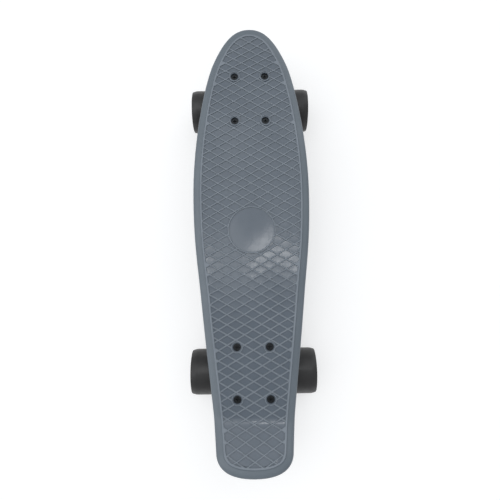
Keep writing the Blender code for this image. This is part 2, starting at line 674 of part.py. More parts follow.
def make_kingpin(end, truck):
    head_bottom = KINGPIN_SEAT + KINGPIN_SEAT_WALL + GAP
    head_top = head_bottom + KINGPIN_HEAD_HEIGHT
    tip = -KINGPIN_NUT_TOP - KINGPIN_NUT_HEIGHT - KINGPIN_TAIL
    head = pin(f"{end}_kingpin", KINGPIN_HEAD_RADIUS, head_top, head_bottom, HEX, truck, KINGPIN_FRAME, BRIGHT_STEEL)
    shank = pin(f"{end}_kingpin_shank", KINGPIN_RADIUS, head_bottom + GAP, tip, PIN_STEPS, truck, KINGPIN_FRAME)
    combine(head, shank, "UNION")
    make_nut(f"{end}_kingpin_nut", KINGPIN_NUT_RADIUS, KINGPIN_RADIUS + GAP, -KINGPIN_NUT_TOP,
             KINGPIN_NUT_HEIGHT, PIN_STEPS, truck, KINGPIN_FRAME, BRIGHT_STEEL)


def make_bushings(end, truck):
    """A barrel bushing on the deck's side of the hanger's ring and a cone on the road's side, with their washers."""
    bore = KINGPIN_RADIUS + GAP
    ring_face = RING_THICKNESS / 2 + GAP
    barrel_waist = (BARREL_TOP + ring_face) / 2
    barrel = [
        (BARREL_RADIUS - BARREL_BULGE, BARREL_TOP),
        (BARREL_RADIUS, barrel_waist),
        (BARREL_RADIUS - BARREL_BULGE, ring_face),
        (bore, ring_face),
        (bore, BARREL_TOP),
    ]
    turned(f"{end}_bushing_board_side", barrel, BUSHING_STEPS, truck, KINGPIN_FRAME, GREY_URETHANE)
    cone = [
        (CONE_TOP_RADIUS, -ring_face),
        (CONE_END_RADIUS, -CONE_END),
        (bore, -CONE_END),
        (bore, -ring_face),
    ]
    turned(f"{end}_bushing_road_side", cone, BUSHING_STEPS, truck, KINGPIN_FRAME, GREY_URETHANE)
    for side, end_face, radius, up in (
        ("board_side", BARREL_TOP, BARREL_RADIUS, 1),
        ("road_side", -CONE_END, CONE_END_RADIUS + CONE_WASHER_MARGIN, -1),
    ):
        near = end_face + up * GAP
        far = near + up * WASHER_THICKNESS
        tube(f"{end}_cup_washer_{side}", radius, bore, max(near, far), min(near, far), PIN_STEPS,
             truck, KINGPIN_FRAME, BRIGHT_STEEL)


def make_hanger(end, truck, steering, into_steering):
    name = f"{end}_hanger"
    shoulder = RING_RADIUS + HOUSING_SHOULDER
    housing = [
        (0, HANGER_HALF),
        (HOUSING_END, HANGER_HALF),
        (HOUSING_END, HANGER_HALF - HOUSING_COLLAR),
        (HOUSING_WAIST, HANGER_HALF - 2 * HOUSING_COLLAR),
        (HOUSING_RADIUS, shoulder),
        (HOUSING_RADIUS, -shoulder),
        (HOUSING_WAIST, 2 * HOUSING_COLLAR - HANGER_HALF),
        (HOUSING_END, HOUSING_COLLAR - HANGER_HALF),
        (HOUSING_END, -HANGER_HALF),
        (0, -HANGER_HALF),
    ]
    place = into_steering @ AXLE_FRAME
    hanger = turned(name, housing, BUSHING_STEPS, steering, place, CAST_ALUMINIUM)
    half = RING_THICKNESS / 2
    ring = [
        (0, half),
        (RING_RADIUS - RING_CHAMFER, half),
        (RING_RADIUS, half - RING_CHAMFER),
        (RING_RADIUS, RING_CHAMFER - half),
        (RING_RADIUS - RING_CHAMFER, -half),
        (0, -half),
    ]
    combine(hanger, turned(f"{name}_ring", ring, RING_STEPS, truck, KINGPIN_FRAME), "UNION")
    inside = RING_RADIUS - WEB_MARGIN
    near_half = (inside, half - RING_CHAMFER)
    far_half = (RING_RADIUS + WEB_FLARE, HOUSING_WAIST - WEB_MARGIN / 2)
    web = block(f"{name}_web", KINGPIN_FRAME @ Vector((0, inside, 0)), near_half, AXLE, far_half, truck)
    combine(hanger, web, "UNION")
    reach = (PIVOT - AXLE).length
    tip = [(PIVOT_TIP_RADIUS * math.cos(math.radians(a)), PIVOT_TIP_RADIUS * math.sin(math.radians(a)))
           for a in (90, 60, 30, 0)]
    arm = tip + [
        (PIVOT_TIP_RADIUS - PIVOT_NECK, -PIVOT_TIP_LENGTH),
        (HOUSING_WAIST, -reach / 2),
        (HOUSING_RADIUS + ARM_FLARE, -reach),
        (0, -reach),
    ]
    arm[0] = (0, PIVOT_TIP_RADIUS)
    combine(hanger, turned(f"{name}_pivot_arm", arm, RING_STEPS, truck, PIVOT_FRAME), "UNION")
    bore = pin(f"{name}_ring_bore", RING_BORE, RING_THICKNESS, -RING_THICKNESS, RING_STEPS, truck, KINGPIN_FRAME)
    combine(hanger, bore, "DIFFERENCE")
    axle_bore = pin(f"{name}_axle_bore", AXLE_RADIUS + GAP, 2 * HANGER_HALF, -2 * HANGER_HALF, PIN_STEPS,
                    truck, AXLE_FRAME)
    combine(hanger, axle_bore, "DIFFERENCE")


def make_axle(end, steering, place):
    """The axle rod, which carries an inner speed washer at each end of the hanger."""
    tip = WHEEL_MIDDLE + BEARING_OUTER + 2 * GAP + SPEED_WASHER_THICKNESS + AXLE_NUT_HEIGHT + AXLE_TAIL
    near = HANGER_HALF + GAP
    far = near + SPEED_WASHER_THICKNESS
    half = [(AXLE_RADIUS, tip), (AXLE_RADIUS, far), (SPEED_WASHER_RADIUS, far),
            (SPEED_WASHER_RADIUS, near), (AXLE_RADIUS, near)]
    mirrored = [(radius, -height) for radius, height in reversed(half)]
    profile = [(0, tip), *half, *mirrored, (0, -tip)]
    turned(f"{end}_axle", profile, PIN_STEPS, steering, place, BRIGHT_STEEL)


def make_wheel(name, wheel_hub):
    """A wheel with its two bearings. Local Z is the axle and the tread lies flat on the ground."""
    flat = WHEEL_RADIUS / math.cos(math.pi / WHEEL_STEPS)
    face = BEARING_OUTER + BEARING_SUNK
    lip = WHEEL_WIDTH / 2
    seat = BEARING_RADIUS + GAP
    land = SPACER_LENGTH / 2 - GAP
    outer = [
        (CORE_RADIUS, face),
        (flat - SHOULDER_DEPTH, lip),
        (flat - SHOULDER_CREST, lip - SHOULDER_CREST_WIDTH),
        (flat, CONTACT_WIDTH / 2),
    ]
    profile = [
        *outer,
        *[(radius, -height) for radius, height in reversed(outer)],
        (seat, -face),
        (seat, -land),
        (LAND_BORE, -land),
        (LAND_BORE, land),
        (seat, land),
        (seat, face),
    ]
    half_step = Matrix.Rotation(math.pi / WHEEL_STEPS, 4, "Z")
    turned(f"{name}_wheel", profile, WHEEL_STEPS, wheel_hub, half_step, CHARCOAL_URETHANE)
    return land


def make_bearing(name, near, far, wheel_hub):
    """A sealed ball bearing, closed by its shields."""
    tube(name, BEARING_RADIUS, BEARING_BORE, max(near, far), min(near, far), BEARING_STEPS,
         wheel_hub, Matrix.Identity(4), BRIGHT_STEEL)


def make_wheel_set(end, side, out, steering, into_steering):
    """One wheel and what holds it on the axle. Out is the side of the truck's frame that it is on."""
    name = f"{end}_{side}"
    middle = AXLE + Vector((out * WHEEL_MIDDLE, 0, 0))
    place = into_steering @ Matrix.Translation(middle) @ Matrix.Rotation(math.pi / 2, 4, "Y")
    hub = empty(f"{name}_wheel_hub", steering, place)
    land = make_wheel(name, hub)
    for which, facing in (("inner", -out), ("outer", out)):
        near = facing * SPACER_LENGTH / 2
        make_bearing(f"{name}_bearing_{which}", near, near + facing * BEARING_WIDTH, hub)
    fixed = into_steering @ AXLE_FRAME
    spacer = Matrix.Translation((0, 0, out * WHEEL_MIDDLE))
    tube(f"{name}_bearing_spacer", SPACER_RADIUS, BEARING_BORE, land, -land, PIN_STEPS,
         steering, fixed @ spacer, BRIGHT_STEEL)
    washer_near = WHEEL_MIDDLE + BEARING_OUTER + GAP
    nut_near = washer_near + SPEED_WASHER_THICKNESS
    outward = fixed @ Matrix.Rotation(0 if out > 0 else math.pi, 4, "X")
    nut = make_nut(f"{name}_axle_nut", AXLE_NUT_RADIUS, BEARING_BORE, nut_near + AXLE_NUT_HEIGHT,
                   AXLE_NUT_HEIGHT, PIN_STEPS, steering, outward, BRIGHT_STEEL)
    washer = tube(f"{name}_axle_washer", SPEED_WASHER_RADIUS, BEARING_BORE, nut_near + GAP,
                  washer_near, PIN_STEPS, steering, outward)
    combine(nut, washer, "UNION")


def make_truck(end, facing):
    """A truck under the nose (facing 1) or under the tail (facing -1), with its two wheels.

    Returns the helpers that shape the deck round its bolts.
    """
    turn = Matrix.Rotation(0 if facing > 0 else math.pi, 4, "Z")
    place = Matrix.Translation((0, MID_Y + facing * HALF_SPACING, PAD_HEIGHT)) @ turn
    truck = empty(f"{end}_truck", None, place)
    steering = empty(f"{end}_steering", truck, Matrix.Translation(RING_CENTRE))
    into_steering = Matrix.Translation(-RING_CENTRE)
    baseplate = make_baseplate(end, truck)
    bosses, seats = make_deck_bolts(end, truck, baseplate)
    make_pivot_cup(end, truck)
    make_kingpin(end, truck)
    make_bushings(end, truck)
    make_hanger(end, truck, steering, into_steering)
    make_axle(end, steering, into_steering @ AXLE_FRAME)
    for side, right in (("left", -1), ("right", 1)):
        make_wheel_set(end, side, right * facing, steering, into_steering)
    return bosses, seats


skateboard_deck = make_deck()
medallion, medallion_dish = make_medallion(skateboard_deck)
front_bosses, front_seats = make_truck("front", 1)
rear_bosses, rear_seats = make_truck("rear", -1)
combine_all(skateboard_deck, [medallion, *front_bosses, *rear_bosses], "UNION")
combine_all(skateboard_deck, [medallion_dish, *front_seats, *rear_seats], "DIFFERENCE")
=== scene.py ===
# %% [markdown]
# # Cruiser skateboard
# A short plastic board on two trucks. The imported CAD model is loaded first and stays fixed: it says
# where every piece is and which body it moves with. Each piece that shows is then modelled again with
# its real edges and finish and sits exactly where its CAD node is; all but the bushings ride on the same
# body.

# %% Load the frame
import json
import math

import bmesh
import bpy
from mathutils import Matrix, Vector


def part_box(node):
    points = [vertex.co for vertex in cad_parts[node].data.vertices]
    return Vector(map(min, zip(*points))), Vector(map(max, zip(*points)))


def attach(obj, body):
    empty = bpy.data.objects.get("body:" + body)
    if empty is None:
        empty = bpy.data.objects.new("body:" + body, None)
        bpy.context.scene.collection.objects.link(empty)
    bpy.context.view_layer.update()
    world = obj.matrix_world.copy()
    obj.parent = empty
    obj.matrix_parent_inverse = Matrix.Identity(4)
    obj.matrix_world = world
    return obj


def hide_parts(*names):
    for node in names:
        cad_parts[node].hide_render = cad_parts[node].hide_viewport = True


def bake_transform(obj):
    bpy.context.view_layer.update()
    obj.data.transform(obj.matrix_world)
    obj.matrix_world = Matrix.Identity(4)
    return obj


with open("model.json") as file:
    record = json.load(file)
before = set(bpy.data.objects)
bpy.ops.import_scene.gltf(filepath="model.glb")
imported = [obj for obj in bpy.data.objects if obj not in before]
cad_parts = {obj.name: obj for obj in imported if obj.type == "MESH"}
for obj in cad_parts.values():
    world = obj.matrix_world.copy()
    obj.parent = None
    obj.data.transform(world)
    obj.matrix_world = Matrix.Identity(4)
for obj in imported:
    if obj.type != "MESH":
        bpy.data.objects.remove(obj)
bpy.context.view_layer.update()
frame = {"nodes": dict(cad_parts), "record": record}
MM = 0.001

# %% [markdown]
# ## Camera
# The photo was taken from nearly straight above, and close: the board almost fills the height of a view
# 60 degrees wide, so the wheels, which lie lower than the deck, look a little smaller than they are. The
# place of the camera was worked out from the eight bolts, whose pattern is a standard size.

# %% Camera
CAMERA_PLACE = Vector((-0.6, -92.3, 629.7)) * MM
CAMERA_TURN_DEG = (7.699, 0.313, -0.790)
SENSOR_MM = 36.0
LENS_MM = 30.94

bpy.ops.object.select_all(action="DESELECT")
camera_turn = [math.radians(angle) for angle in CAMERA_TURN_DEG]
bpy.ops.object.camera_add(location=CAMERA_PLACE, rotation=camera_turn)
camera = bpy.context.object
camera.data.sensor_width = SENSOR_MM
camera.data.lens = LENS_MM
camera.data.clip_start = 0.01
bpy.context.scene.camera = camera
bpy.context.scene.view_settings.view_transform = "Standard"
print("camera is", round(camera.location.z / MM), "mm above the floor")

# %% [markdown]
# ## Finishes
# One function turns a hex colour into the linear numbers that a shader takes, and one adds a node with
# its settings and links. A pattern's scale is worked out from its real size: one pattern cell of a
# noise texture is 1 / scale wide.

# %% Colours and nodes
def linear(hex_colour):
    """The linear colour that a shader takes, from a colour as a screen shows it."""
    parts = [int(hex_colour[i:i + 2], 16) / 255 for i in (1, 3, 5)]
    lit = [part / 12.92 if part <= 0.04045 else ((part + 0.055) / 1.055) ** 2.4 for part in parts]
    return (*lit, 1.0)


def add_node(tree, kind, inputs=None, **settings):
    """Adds a node. An input that is given another node's socket is linked to it, any other is set."""
    node = tree.nodes.new(kind)
    for name, value in settings.items():
        setattr(node, name, value)
    for name, value in (inputs or {}).items():
        if isinstance(value, bpy.types.NodeSocket):
            tree.links.new(value, node.inputs[name])
        else:
            node.inputs[name].default_value = value
    return node


def new_finish(name):
    """A material with its shader, and the object's own coordinates to draw patterns on."""
    finish = bpy.data.materials.new(name)
    finish.use_nodes = True
    tree = finish.node_tree
    where = add_node(tree, "ShaderNodeTexCoord").outputs["Object"]
    return finish, tree, tree.nodes["Principled BSDF"], where


# %% [markdown]
# One recipe serves every finish, because real surfaces share a build: a colour that drifts in slow
# blotches, a fine grain that darkens and lightens it a little, a gloss that scuffs and handling make
# uneven, and small bumps in that grain. What differs is how big and how deep each of them is, and
# how the light meets it. A noise texture seldom comes near 0 or 1, so the middle of its range is
# spread out. Some finishes also have a thin clear skin over them, which is the shader's coat.

# %% A recipe for finishes
FINE_GRAIN = 0.7 * MM
SCUFF = 9 * MM
SKIN_ROUGHNESS = 0.10
SHARE, FIRST, SECOND, MIXED = 0, 6, 7, 2  # the sockets of a Mix node that are for colours


def make_finish(name, dark, light, smoothest, roughest, blotch=45 * MM, grain=FINE_GRAIN,
                grain_depth=0.02 * MM, grain_tone=0.06, wave=4 * MM, wave_depth=0.0,
                stretch=(1, 1, 1), metallic=0.0, ior=None, skin=0.0):
    """A finish that varies between two colours and between two roughnesses."""
    finish, tree, shader, where = new_finish(name)

    blotches = add_node(tree, "ShaderNodeTexNoise", {"Vector": where, "Scale": 1 / blotch, "Detail": 3.0})
    drift = add_node(tree, "ShaderNodeMapRange", {
        "Value": blotches.outputs["Fac"], "From Min": 0.35, "From Max": 0.65,
    })
    colour = add_node(tree, "ShaderNodeMix", {
        SHARE: drift.outputs["Result"], FIRST: linear(dark), SECOND: linear(light),
    }, data_type="RGBA")

    drawn = add_node(tree, "ShaderNodeMapping", {"Vector": where, "Scale": stretch}).outputs["Vector"]
    grains = add_node(tree, "ShaderNodeTexNoise", {"Vector": drawn, "Scale": 1 / grain, "Detail": 2.0})
    speck = grains.outputs["Fac"]
    tone = add_node(tree, "ShaderNodeMapRange", {
        "Value": speck, "From Min": 0.3, "From Max": 0.7,
        "To Min": 1 - grain_tone, "To Max": 1 + grain_tone,
    }).outputs["Result"]
    shade = add_node(tree, "ShaderNodeCombineColor", {"Red": tone, "Green": tone, "Blue": tone})
    shaded = add_node(tree, "ShaderNodeMix", {
        SHARE: 1.0, FIRST: colour.outputs[MIXED], SECOND: shade.outputs["Color"],
    }, data_type="RGBA", blend_type="MULTIPLY")
    tree.links.new(shaded.outputs[MIXED], shader.inputs["Base Color"])

    scuffs = add_node(tree, "ShaderNodeTexNoise", {
        "Vector": where, "Scale": 1 / SCUFF, "Detail": 5.0, "Roughness": 0.65,
    })
    gloss = add_node(tree, "ShaderNodeMapRange", {
        "Value": scuffs.outputs["Fac"], "From Min": 0.4, "From Max": 0.7,
        "To Min": smoothest, "To Max": roughest,
    })
    tree.links.new(gloss.outputs["Result"], shader.inputs["Roughness"])

    bumps = add_node(tree, "ShaderNodeBump", {"Height": speck, "Distance": grain_depth})
    if wave_depth:
        waves = add_node(tree, "ShaderNodeTexNoise", {"Vector": where, "Scale": 1 / wave, "Detail": 1.0})
        below = add_node(tree, "ShaderNodeBump", {"Height": waves.outputs["Fac"], "Distance": wave_depth})
        tree.links.new(below.outputs["Normal"], bumps.inputs["Normal"])
    tree.links.new(bumps.outputs["Normal"], shader.inputs["Normal"])

    shader.inputs["Metallic"].default_value = metallic
    shader.inputs["Coat Weight"].default_value = skin
    shader.inputs["Coat Roughness"].default_value = SKIN_ROUGHNESS
    if ior:
        shader.inputs["IOR"].default_value = ior
    return finish


# %% [markdown]
# ### Moulded polypropylene
# The deck is injection moulded from polypropylene coloured all through, a slate blue-grey. The mould
# was left satin at the edge and polished in the pockets and on the round disc, so those mirror the
# room. The crests of the ribs are painted paler, a painted highlight for the light that their rounded
# edges catch. A faint wave, as on orange peel, breaks up the polished mirrors.

# %% Deck plastic
PLASTIC_IOR = 1.49
SATIN_PLASTIC = make_finish("satin_polypropylene", "#666f77", "#6a737b", 0.34, 0.46,
                            wave_depth=0.02 * MM, ior=PLASTIC_IOR)
POLISHED_PLASTIC = make_finish("polished_polypropylene", "#5b646e", "#5f6872", 0.10, 0.17,
                               grain_depth=0.003 * MM, wave_depth=0.02 * MM, ior=PLASTIC_IOR)
# The paler crest finish is a painted highlight, for the light that the ribs' rounded edges catch.
CREST_HIGHLIGHT_PLASTIC = make_finish("crest_highlight_polypropylene", "#788089", "#7d858e", 0.42, 0.55, ior=PLASTIC_IOR)
print("deck finishes:", SATIN_PLASTIC.name, POLISHED_PLASTIC.name, CREST_HIGHLIGHT_PLASTIC.name)

# %% [markdown]
# ### Cast polyurethane and rubber
# The wheels are poured polyurethane, a dark warm charcoal. Their tread is ground true on a lathe
# after casting, which leaves fine lines round it and a duller face; a grain that is stretched round
# the axle gives those lines, and on the sides it reads as the soft sheen of the casting. A faint
# clear skin over that catches the lamps as a soft line across each wheel. The bushings are a harder
# pour of the same stuff, left smooth, and the bearings are closed by moulded nitrile rubber, which is
# black and nearly matt. The rings in the lock nuts are turned from nylon, off-white and a little dull.

# %% Urethane and rubber
URETHANE_IOR = 1.5
ROUND_THE_AXLE = (1, 0.04, 0.04)
WHEEL_URETHANE = make_finish("cast_polyurethane", "#201f1f", "#252424", 0.50, 0.62, blotch=20 * MM,
                             grain=0.6 * MM, grain_depth=0.02 * MM, grain_tone=0.05,
                             stretch=ROUND_THE_AXLE, ior=URETHANE_IOR, skin=0.18)
BUSHING_URETHANE = make_finish("poured_urethane", "#6a6b6c", "#747577", 0.30, 0.42, blotch=8 * MM,
                               grain=0.5 * MM, grain_depth=0.01 * MM, grain_tone=0.03, ior=URETHANE_IOR)
SEAL_RUBBER = make_finish("nitrile_rubber", "#1b1b1c", "#242425", 0.55, 0.65, blotch=3 * MM,
                          grain=0.4 * MM, grain_depth=0.01 * MM, ior=1.52)
NYLON = make_finish("turned_nylon", "#cfcdc4", "#dad8d0", 0.40, 0.50, blotch=2 * MM,
                    grain=0.3 * MM, grain_depth=0.005 * MM, grain_tone=0.03, ior=1.53)
print("soft finishes:", WHEEL_URETHANE.name, BUSHING_URETHANE.name, SEAL_RUBBER.name, NYLON.name)

# %% [markdown]
# ### Metals
# The trucks are aluminium cast in sand: pale, matt and pebbly. Where a cutter has faced or bored them
# they are brighter. The bolts that hold them are steel with black oxide, which is a thin satin coat
# that darkens the steel and lets a little of its gleam through. Axles, nuts and washers are plated with
# bright zinc, and the bearing rings are ground.

# %% Metal finishes
CAST_ALUMINIUM = make_finish("sand_cast_aluminium", "#b9babb", "#c6c7c8", 0.42, 0.58, blotch=14 * MM,
                             grain_depth=0.10 * MM, grain_tone=0.05, metallic=1.0)
MACHINED_ALUMINIUM = make_finish("machined_aluminium", "#cfd0d1", "#d9dadb", 0.24, 0.34, blotch=10 * MM,
                                 grain=0.3 * MM, grain_depth=0.01 * MM, grain_tone=0.03, metallic=1.0)
BLACK_OXIDE = make_finish("black_oxide_steel", "#1c1f22", "#26292c", 0.28, 0.40, blotch=3 * MM,
                          grain=0.3 * MM, grain_depth=0.01 * MM, metallic=0.6)
BRIGHT_ZINC = make_finish("bright_zinc_plate", "#bcbec0", "#cacbc9", 0.20, 0.34, blotch=5 * MM,
                          grain=0.4 * MM, grain_depth=0.008 * MM, grain_tone=0.03, metallic=1.0)
GROUND_STEEL = make_finish("ground_bearing_steel", "#a9abad", "#b5b7b8", 0.14, 0.22, blotch=4 * MM,
                           grain=0.3 * MM, grain_depth=0.005 * MM, grain_tone=0.03, metallic=1.0)
for metal in (CAST_ALUMINIUM, MACHINED_ALUMINIUM, BLACK_OXIDE, BRIGHT_ZINC, GROUND_STEEL):
    print("metal:", metal.name)

# %% [markdown]
# ## Modelling helpers
# Each piece is modelled as by hand: a primitive, then edit-mode tools on faces that are picked by
# their place, then modifiers that are applied. An operator acts on all that is selected, so every
# helper selects exactly what it works on first.

# %% Selecting and picking
def select_only(obj):
    bpy.ops.object.select_all(action="DESELECT")
    obj.select_set(True)
    bpy.context.view_layer.objects.active = obj


def edit(obj):
    """Opens one object alone in edit mode."""
    if bpy.context.mode != "OBJECT":
        bpy.ops.object.mode_set(mode="OBJECT")
    select_only(obj)
    bpy.ops.object.mode_set(mode="EDIT")
    bpy.ops.mesh.select_mode(type="FACE")


def done():
    bpy.ops.object.mode_set(mode="OBJECT")


def pick(test):
    """Selects only the faces that pass a test, in edit mode, and returns how many there are."""
    bpy.ops.mesh.select_all(action="DESELECT")
    mesh = bpy.context.edit_object.data
    chosen = [face for face in bmesh.from_edit_mesh(mesh).faces if test(face)]
    for face in chosen:
        face.select_set(True)
    bmesh.update_edit_mesh(mesh, loop_triangles=False, destructive=False)
    return len(chosen)


def pick_edges(test):
    """Selects only the edges that pass a test, in edit mode, and returns how many there are."""
    bpy.ops.mesh.select_mode(type="EDGE")
    bpy.ops.mesh.select_all(action="DESELECT")
    mesh = bpy.context.edit_object.data
    chosen = [edge for edge in bmesh.from_edit_mesh(mesh).edges if test(edge)]
    for edge in chosen:
        edge.select_set(True)
    bmesh.update_edit_mesh(mesh, loop_triangles=False, destructive=False)
    return len(chosen)


# %% [markdown]
# Lines that are drawn across a field leave very short sides where they meet its edge. An inset runs
# over itself there, so those sides are closed up before anything is sunk.

# %% Cutting across and closing up
CUT_TOLERANCE = 0.000001


def close_short_sides(length, *labels):
    """Closes up the short sides whose two ends both touch faces with these labels."""
    count = pick_edges(lambda edge: edge.calc_length() < length and all(
        any(face.material_index in labels for face in vert.link_faces) for vert in edge.verts))
    if count:
        bpy.ops.mesh.merge(type="COLLAPSE")
    bpy.ops.mesh.select_mode(type="FACE")
    return count


def cut_across(test, point, direction):
    """Draws a line across the faces that pass a test, where a plane crosses them."""
    if pick(test):
        bpy.ops.mesh.bisect(plane_co=point, plane_no=direction, threshold=CUT_TOLERANCE)


# %% [markdown]
# A modifier is applied as soon as it is added, so that the next step starts from a plain mesh. Solids
# are fused, or cut by one another, with the exact Boolean, which copes with faces that lie close.

# %% Modifiers and joining
def apply_step(obj, name, kind, **settings):
    """Adds a modifier and applies it."""
    select_only(obj)
    step = obj.modifiers.new(name, kind)
    for key, value in settings.items():
        setattr(step, key, value)
    bpy.ops.object.modifier_apply(modifier=name)


def combine(obj, other, operation):
    """A Boolean with another object, which is used up."""
    apply_step(obj, "combine", "BOOLEAN", object=other, operation=operation, solver="EXACT")
    bpy.data.objects.remove(other)


def join(pieces, name):
    bpy.ops.object.select_all(action="DESELECT")
    for piece in pieces:
        piece.select_set(True)
    bpy.context.view_layer.objects.active = pieces[0]
    bpy.ops.object.join()
    pieces[0].name = pieces[0].data.name = name
    return pieces[0]


def settle(obj):
    """Puts the piece's place, turn and size into its mesh."""
    select_only(obj)
    bpy.ops.object.transform_apply(location=True, rotation=True, scale=True)


# %% [markdown]
# Nearly everything on a skateboard is either turned on a lathe or a tapered block. So one helper
# draws a profile point by point and spins it, and another shapes a cube by its two end faces. Both
# are modelled upright at the middle of the world and moved into place when they are done.

# %% Turned shapes and tapered blocks
def turn(name, profile_mm, place=Matrix.Identity(4), steps=48):
    """Extrudes one point along a profile of (radius, height) places, and spins it about Z."""
    bpy.ops.object.select_all(action="DESELECT")
    bpy.ops.mesh.primitive_plane_add(size=MM)
    obj = bpy.context.object
    obj.name = obj.data.name = name
    bpy.ops.object.mode_set(mode="EDIT")
    bpy.ops.mesh.select_mode(type="VERT")
    bpy.ops.mesh.select_all(action="SELECT")
    bpy.ops.mesh.merge(type="CENTER")
    bpy.ops.transform.translate(value=(profile_mm[0][0] * MM, 0, profile_mm[0][1] * MM))
    for before, here in zip(profile_mm, profile_mm[1:]):
        step = ((here[0] - before[0]) * MM, 0, (here[1] - before[1]) * MM)
        bpy.ops.mesh.extrude_region_move(TRANSFORM_OT_translate={"value": step})
    bpy.ops.mesh.select_all(action="SELECT")
    bpy.ops.mesh.spin(steps=steps, angle=2 * math.pi, center=(0, 0, 0), axis=(0, 0, 1))
    bpy.ops.mesh.select_all(action="SELECT")
    bpy.ops.mesh.remove_doubles(threshold=0.001 * MM)
    bpy.ops.mesh.normals_make_consistent(inside=False)
    bpy.ops.object.mode_set(mode="OBJECT")
    obj.matrix_world = place
    settle(obj)
    return obj


def bar(name, near, near_half_mm, far, far_half_mm, place=Matrix.Identity(4)):
    """A tapered block from near to far. Each half size is (along x, across it)."""
    near, far = Vector(near) * MM, Vector(far) * MM
    along = (far - near).normalized()
    sideways = Vector((1, 0, 0))
    upward = along.cross(sideways)
    bpy.ops.object.select_all(action="DESELECT")
    bpy.ops.mesh.primitive_cube_add(size=2 * MM)  # each end face is 1 mm from the middle
    obj = bpy.context.object
    obj.name = obj.data.name = name
    edit(obj)
    for side, half in ((-1, near_half_mm), (1, far_half_mm)):
        pick(lambda face: abs(face.calc_center_median().z - side * MM) < 0.1 * MM)
        bpy.ops.transform.resize(value=(*half, 1), center_override=(0, 0, 0))
        shift = -side * MM + (0 if side < 0 else (far - near).length)
        bpy.ops.transform.translate(value=(0, 0, shift))
    done()
    axes = Matrix((sideways, upward, along)).transposed().to_4x4()
    obj.matrix_world = place @ Matrix.Translation(near) @ axes
    settle(obj)
    return obj


# %% [markdown]
# A finished piece is shaded smooth except at its sharp edges. Its finishes are given to faces by their
# place. What repeats is modelled once, and each copy gets its own mesh.

# %% Smoothing, painting and copying
def smooth(obj, angle_deg=30):
    """Shades a piece smooth up to an angle, and lets its big faces look flat up to their edges."""
    select_only(obj)
    bpy.ops.object.shade_smooth_by_angle(angle=math.radians(angle_deg))
    apply_step(obj, "true_faces", "WEIGHTED_NORMAL", keep_sharp=True)


def paint(obj, *choices):
    """Gives a piece its finish. Each later choice is (finish, test), for faces that pass the test."""
    obj.data.materials.clear()
    obj.data.materials.append(choices[0])
    for number, (finish, test) in enumerate(choices[1:], start=1):
        obj.data.materials.append(finish)
        for face in obj.data.polygons:
            if test(face.center / MM):
                face.material_index = number
    return obj


def copy_to(obj, name, place):
    """A copy with its own mesh, moved and turned."""
    select_only(obj)
    bpy.ops.object.duplicate(linked=False)
    copy = bpy.context.object
    copy.name = copy.data.name = name
    copy.matrix_world = place
    settle(copy)
    return copy


# %% [markdown]
# A finished piece rides on the body that its CAD node belongs to, which the record says, and the
# CAD node is then hidden.

# %% Handing over a finished piece
BODY_OF = {node: body for body, nodes in frame["record"]["behaviour"]["bodies"].items() for node in nodes}


def hand_over(obj, slot, *nodes):
    """Gives a finished piece to the body that its CAD nodes move with, in their place."""
    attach(obj, BODY_OF[nodes[0]])
    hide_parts(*nodes)
    print(obj.name, "stands for", *nodes, "with", len(obj.data.polygons), "faces")


# %% [markdown]
# ## Deck
# The deck is one moulding. Its outline is a smooth curve through ten places. It is modelled flat,
# because a mould maker draws the pattern flat too: the outline is filled, the edge is built by insets,
# the field is cut by two families of slanting lines, and each diamond is sunk between thin ribs. The
# bends come last.

# %% Deck sizes
PAD_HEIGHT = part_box("deck")[0].z
DECK_DEPTH = 10.5 * MM
CREST = PAD_HEIGHT + DECK_DEPTH
MID_Y = 8.667 * MM  # the point midway between the trucks
NOSE_REACH_MM = 281.5
TAIL_REACH_MM = 296.9
WIDEST_MM = 76.5  # from the middle to one side
KICK_START = 230.0 * MM
KICK_RADIUS = 40.0 * MM
KICK_ANGLE = math.radians(21)
NOSE_RISE_START = 225.0 * MM
NOSE_RADIUS = 360.0 * MM
NOSE_ANGLE = math.radians(9)
print("the ribs' crests lie", round(CREST / MM, 1), "mm above the floor")

# %% [markdown]
# The photo shows the bent deck from above, so its tail looks shorter than it is. Before the outline is
# drawn flat, each place is moved out to where it lies along the curl.


# %% From the bent deck to the flat one
def laid_flat(level, start, radius, angle):
    """How far along the bent deck a point lies, from how far it looks from above."""
    past = level - start
    if past <= 0:
        return level
    if past < radius * math.sin(angle):
        return start + radius * math.asin(past / radius)
    return start + radius * angle + (past - radius * math.sin(angle)) / math.cos(angle)


def flat_y(level):
    """The y of a point before the bends, from its y seen from above."""
    if level < 0:
        return -laid_flat(-level, KICK_START, KICK_RADIUS, KICK_ANGLE)
    return laid_flat(level, NOSE_RISE_START, NOSE_RADIUS, NOSE_ANGLE)


print("the tail's end, seen from above and laid flat, mm:", TAIL_REACH_MM,
      round(-flat_y(-TAIL_REACH_MM * MM) / MM, 1))

# %% [markdown]
# The outline is drawn as a closed curve. It runs through the places of the right side and their mirror
# images, and two handles at each place say how round it is there. The curve then becomes a mesh.

# %% Deck outline
# Each place is (x, y, heading in degrees from straight back, handle before, handle after), in mm.
OUTLINE_PLACES = (
    (0.0, NOSE_REACH_MM, 90.0, 16.5, 16.5),
    (50.7, 232.2, 22.7, 44.9, 26.3),
    (WIDEST_MM, 54.0, 0.0, 73.2, 65.4),
    (66.7, -83.5, -5.7, 41.9, 91.9),
    (46.5, -270.9, -4.9, 53.0, 12.5),
    (0.0, -TAIL_REACH_MM, -90.0, 36.7, 36.7),
)


def mirrored_place(place):
    """The same place on the left side, where the outline runs the other way."""
    x, y, heading, before, after = place
    return -x, y, 180 - heading, after, before


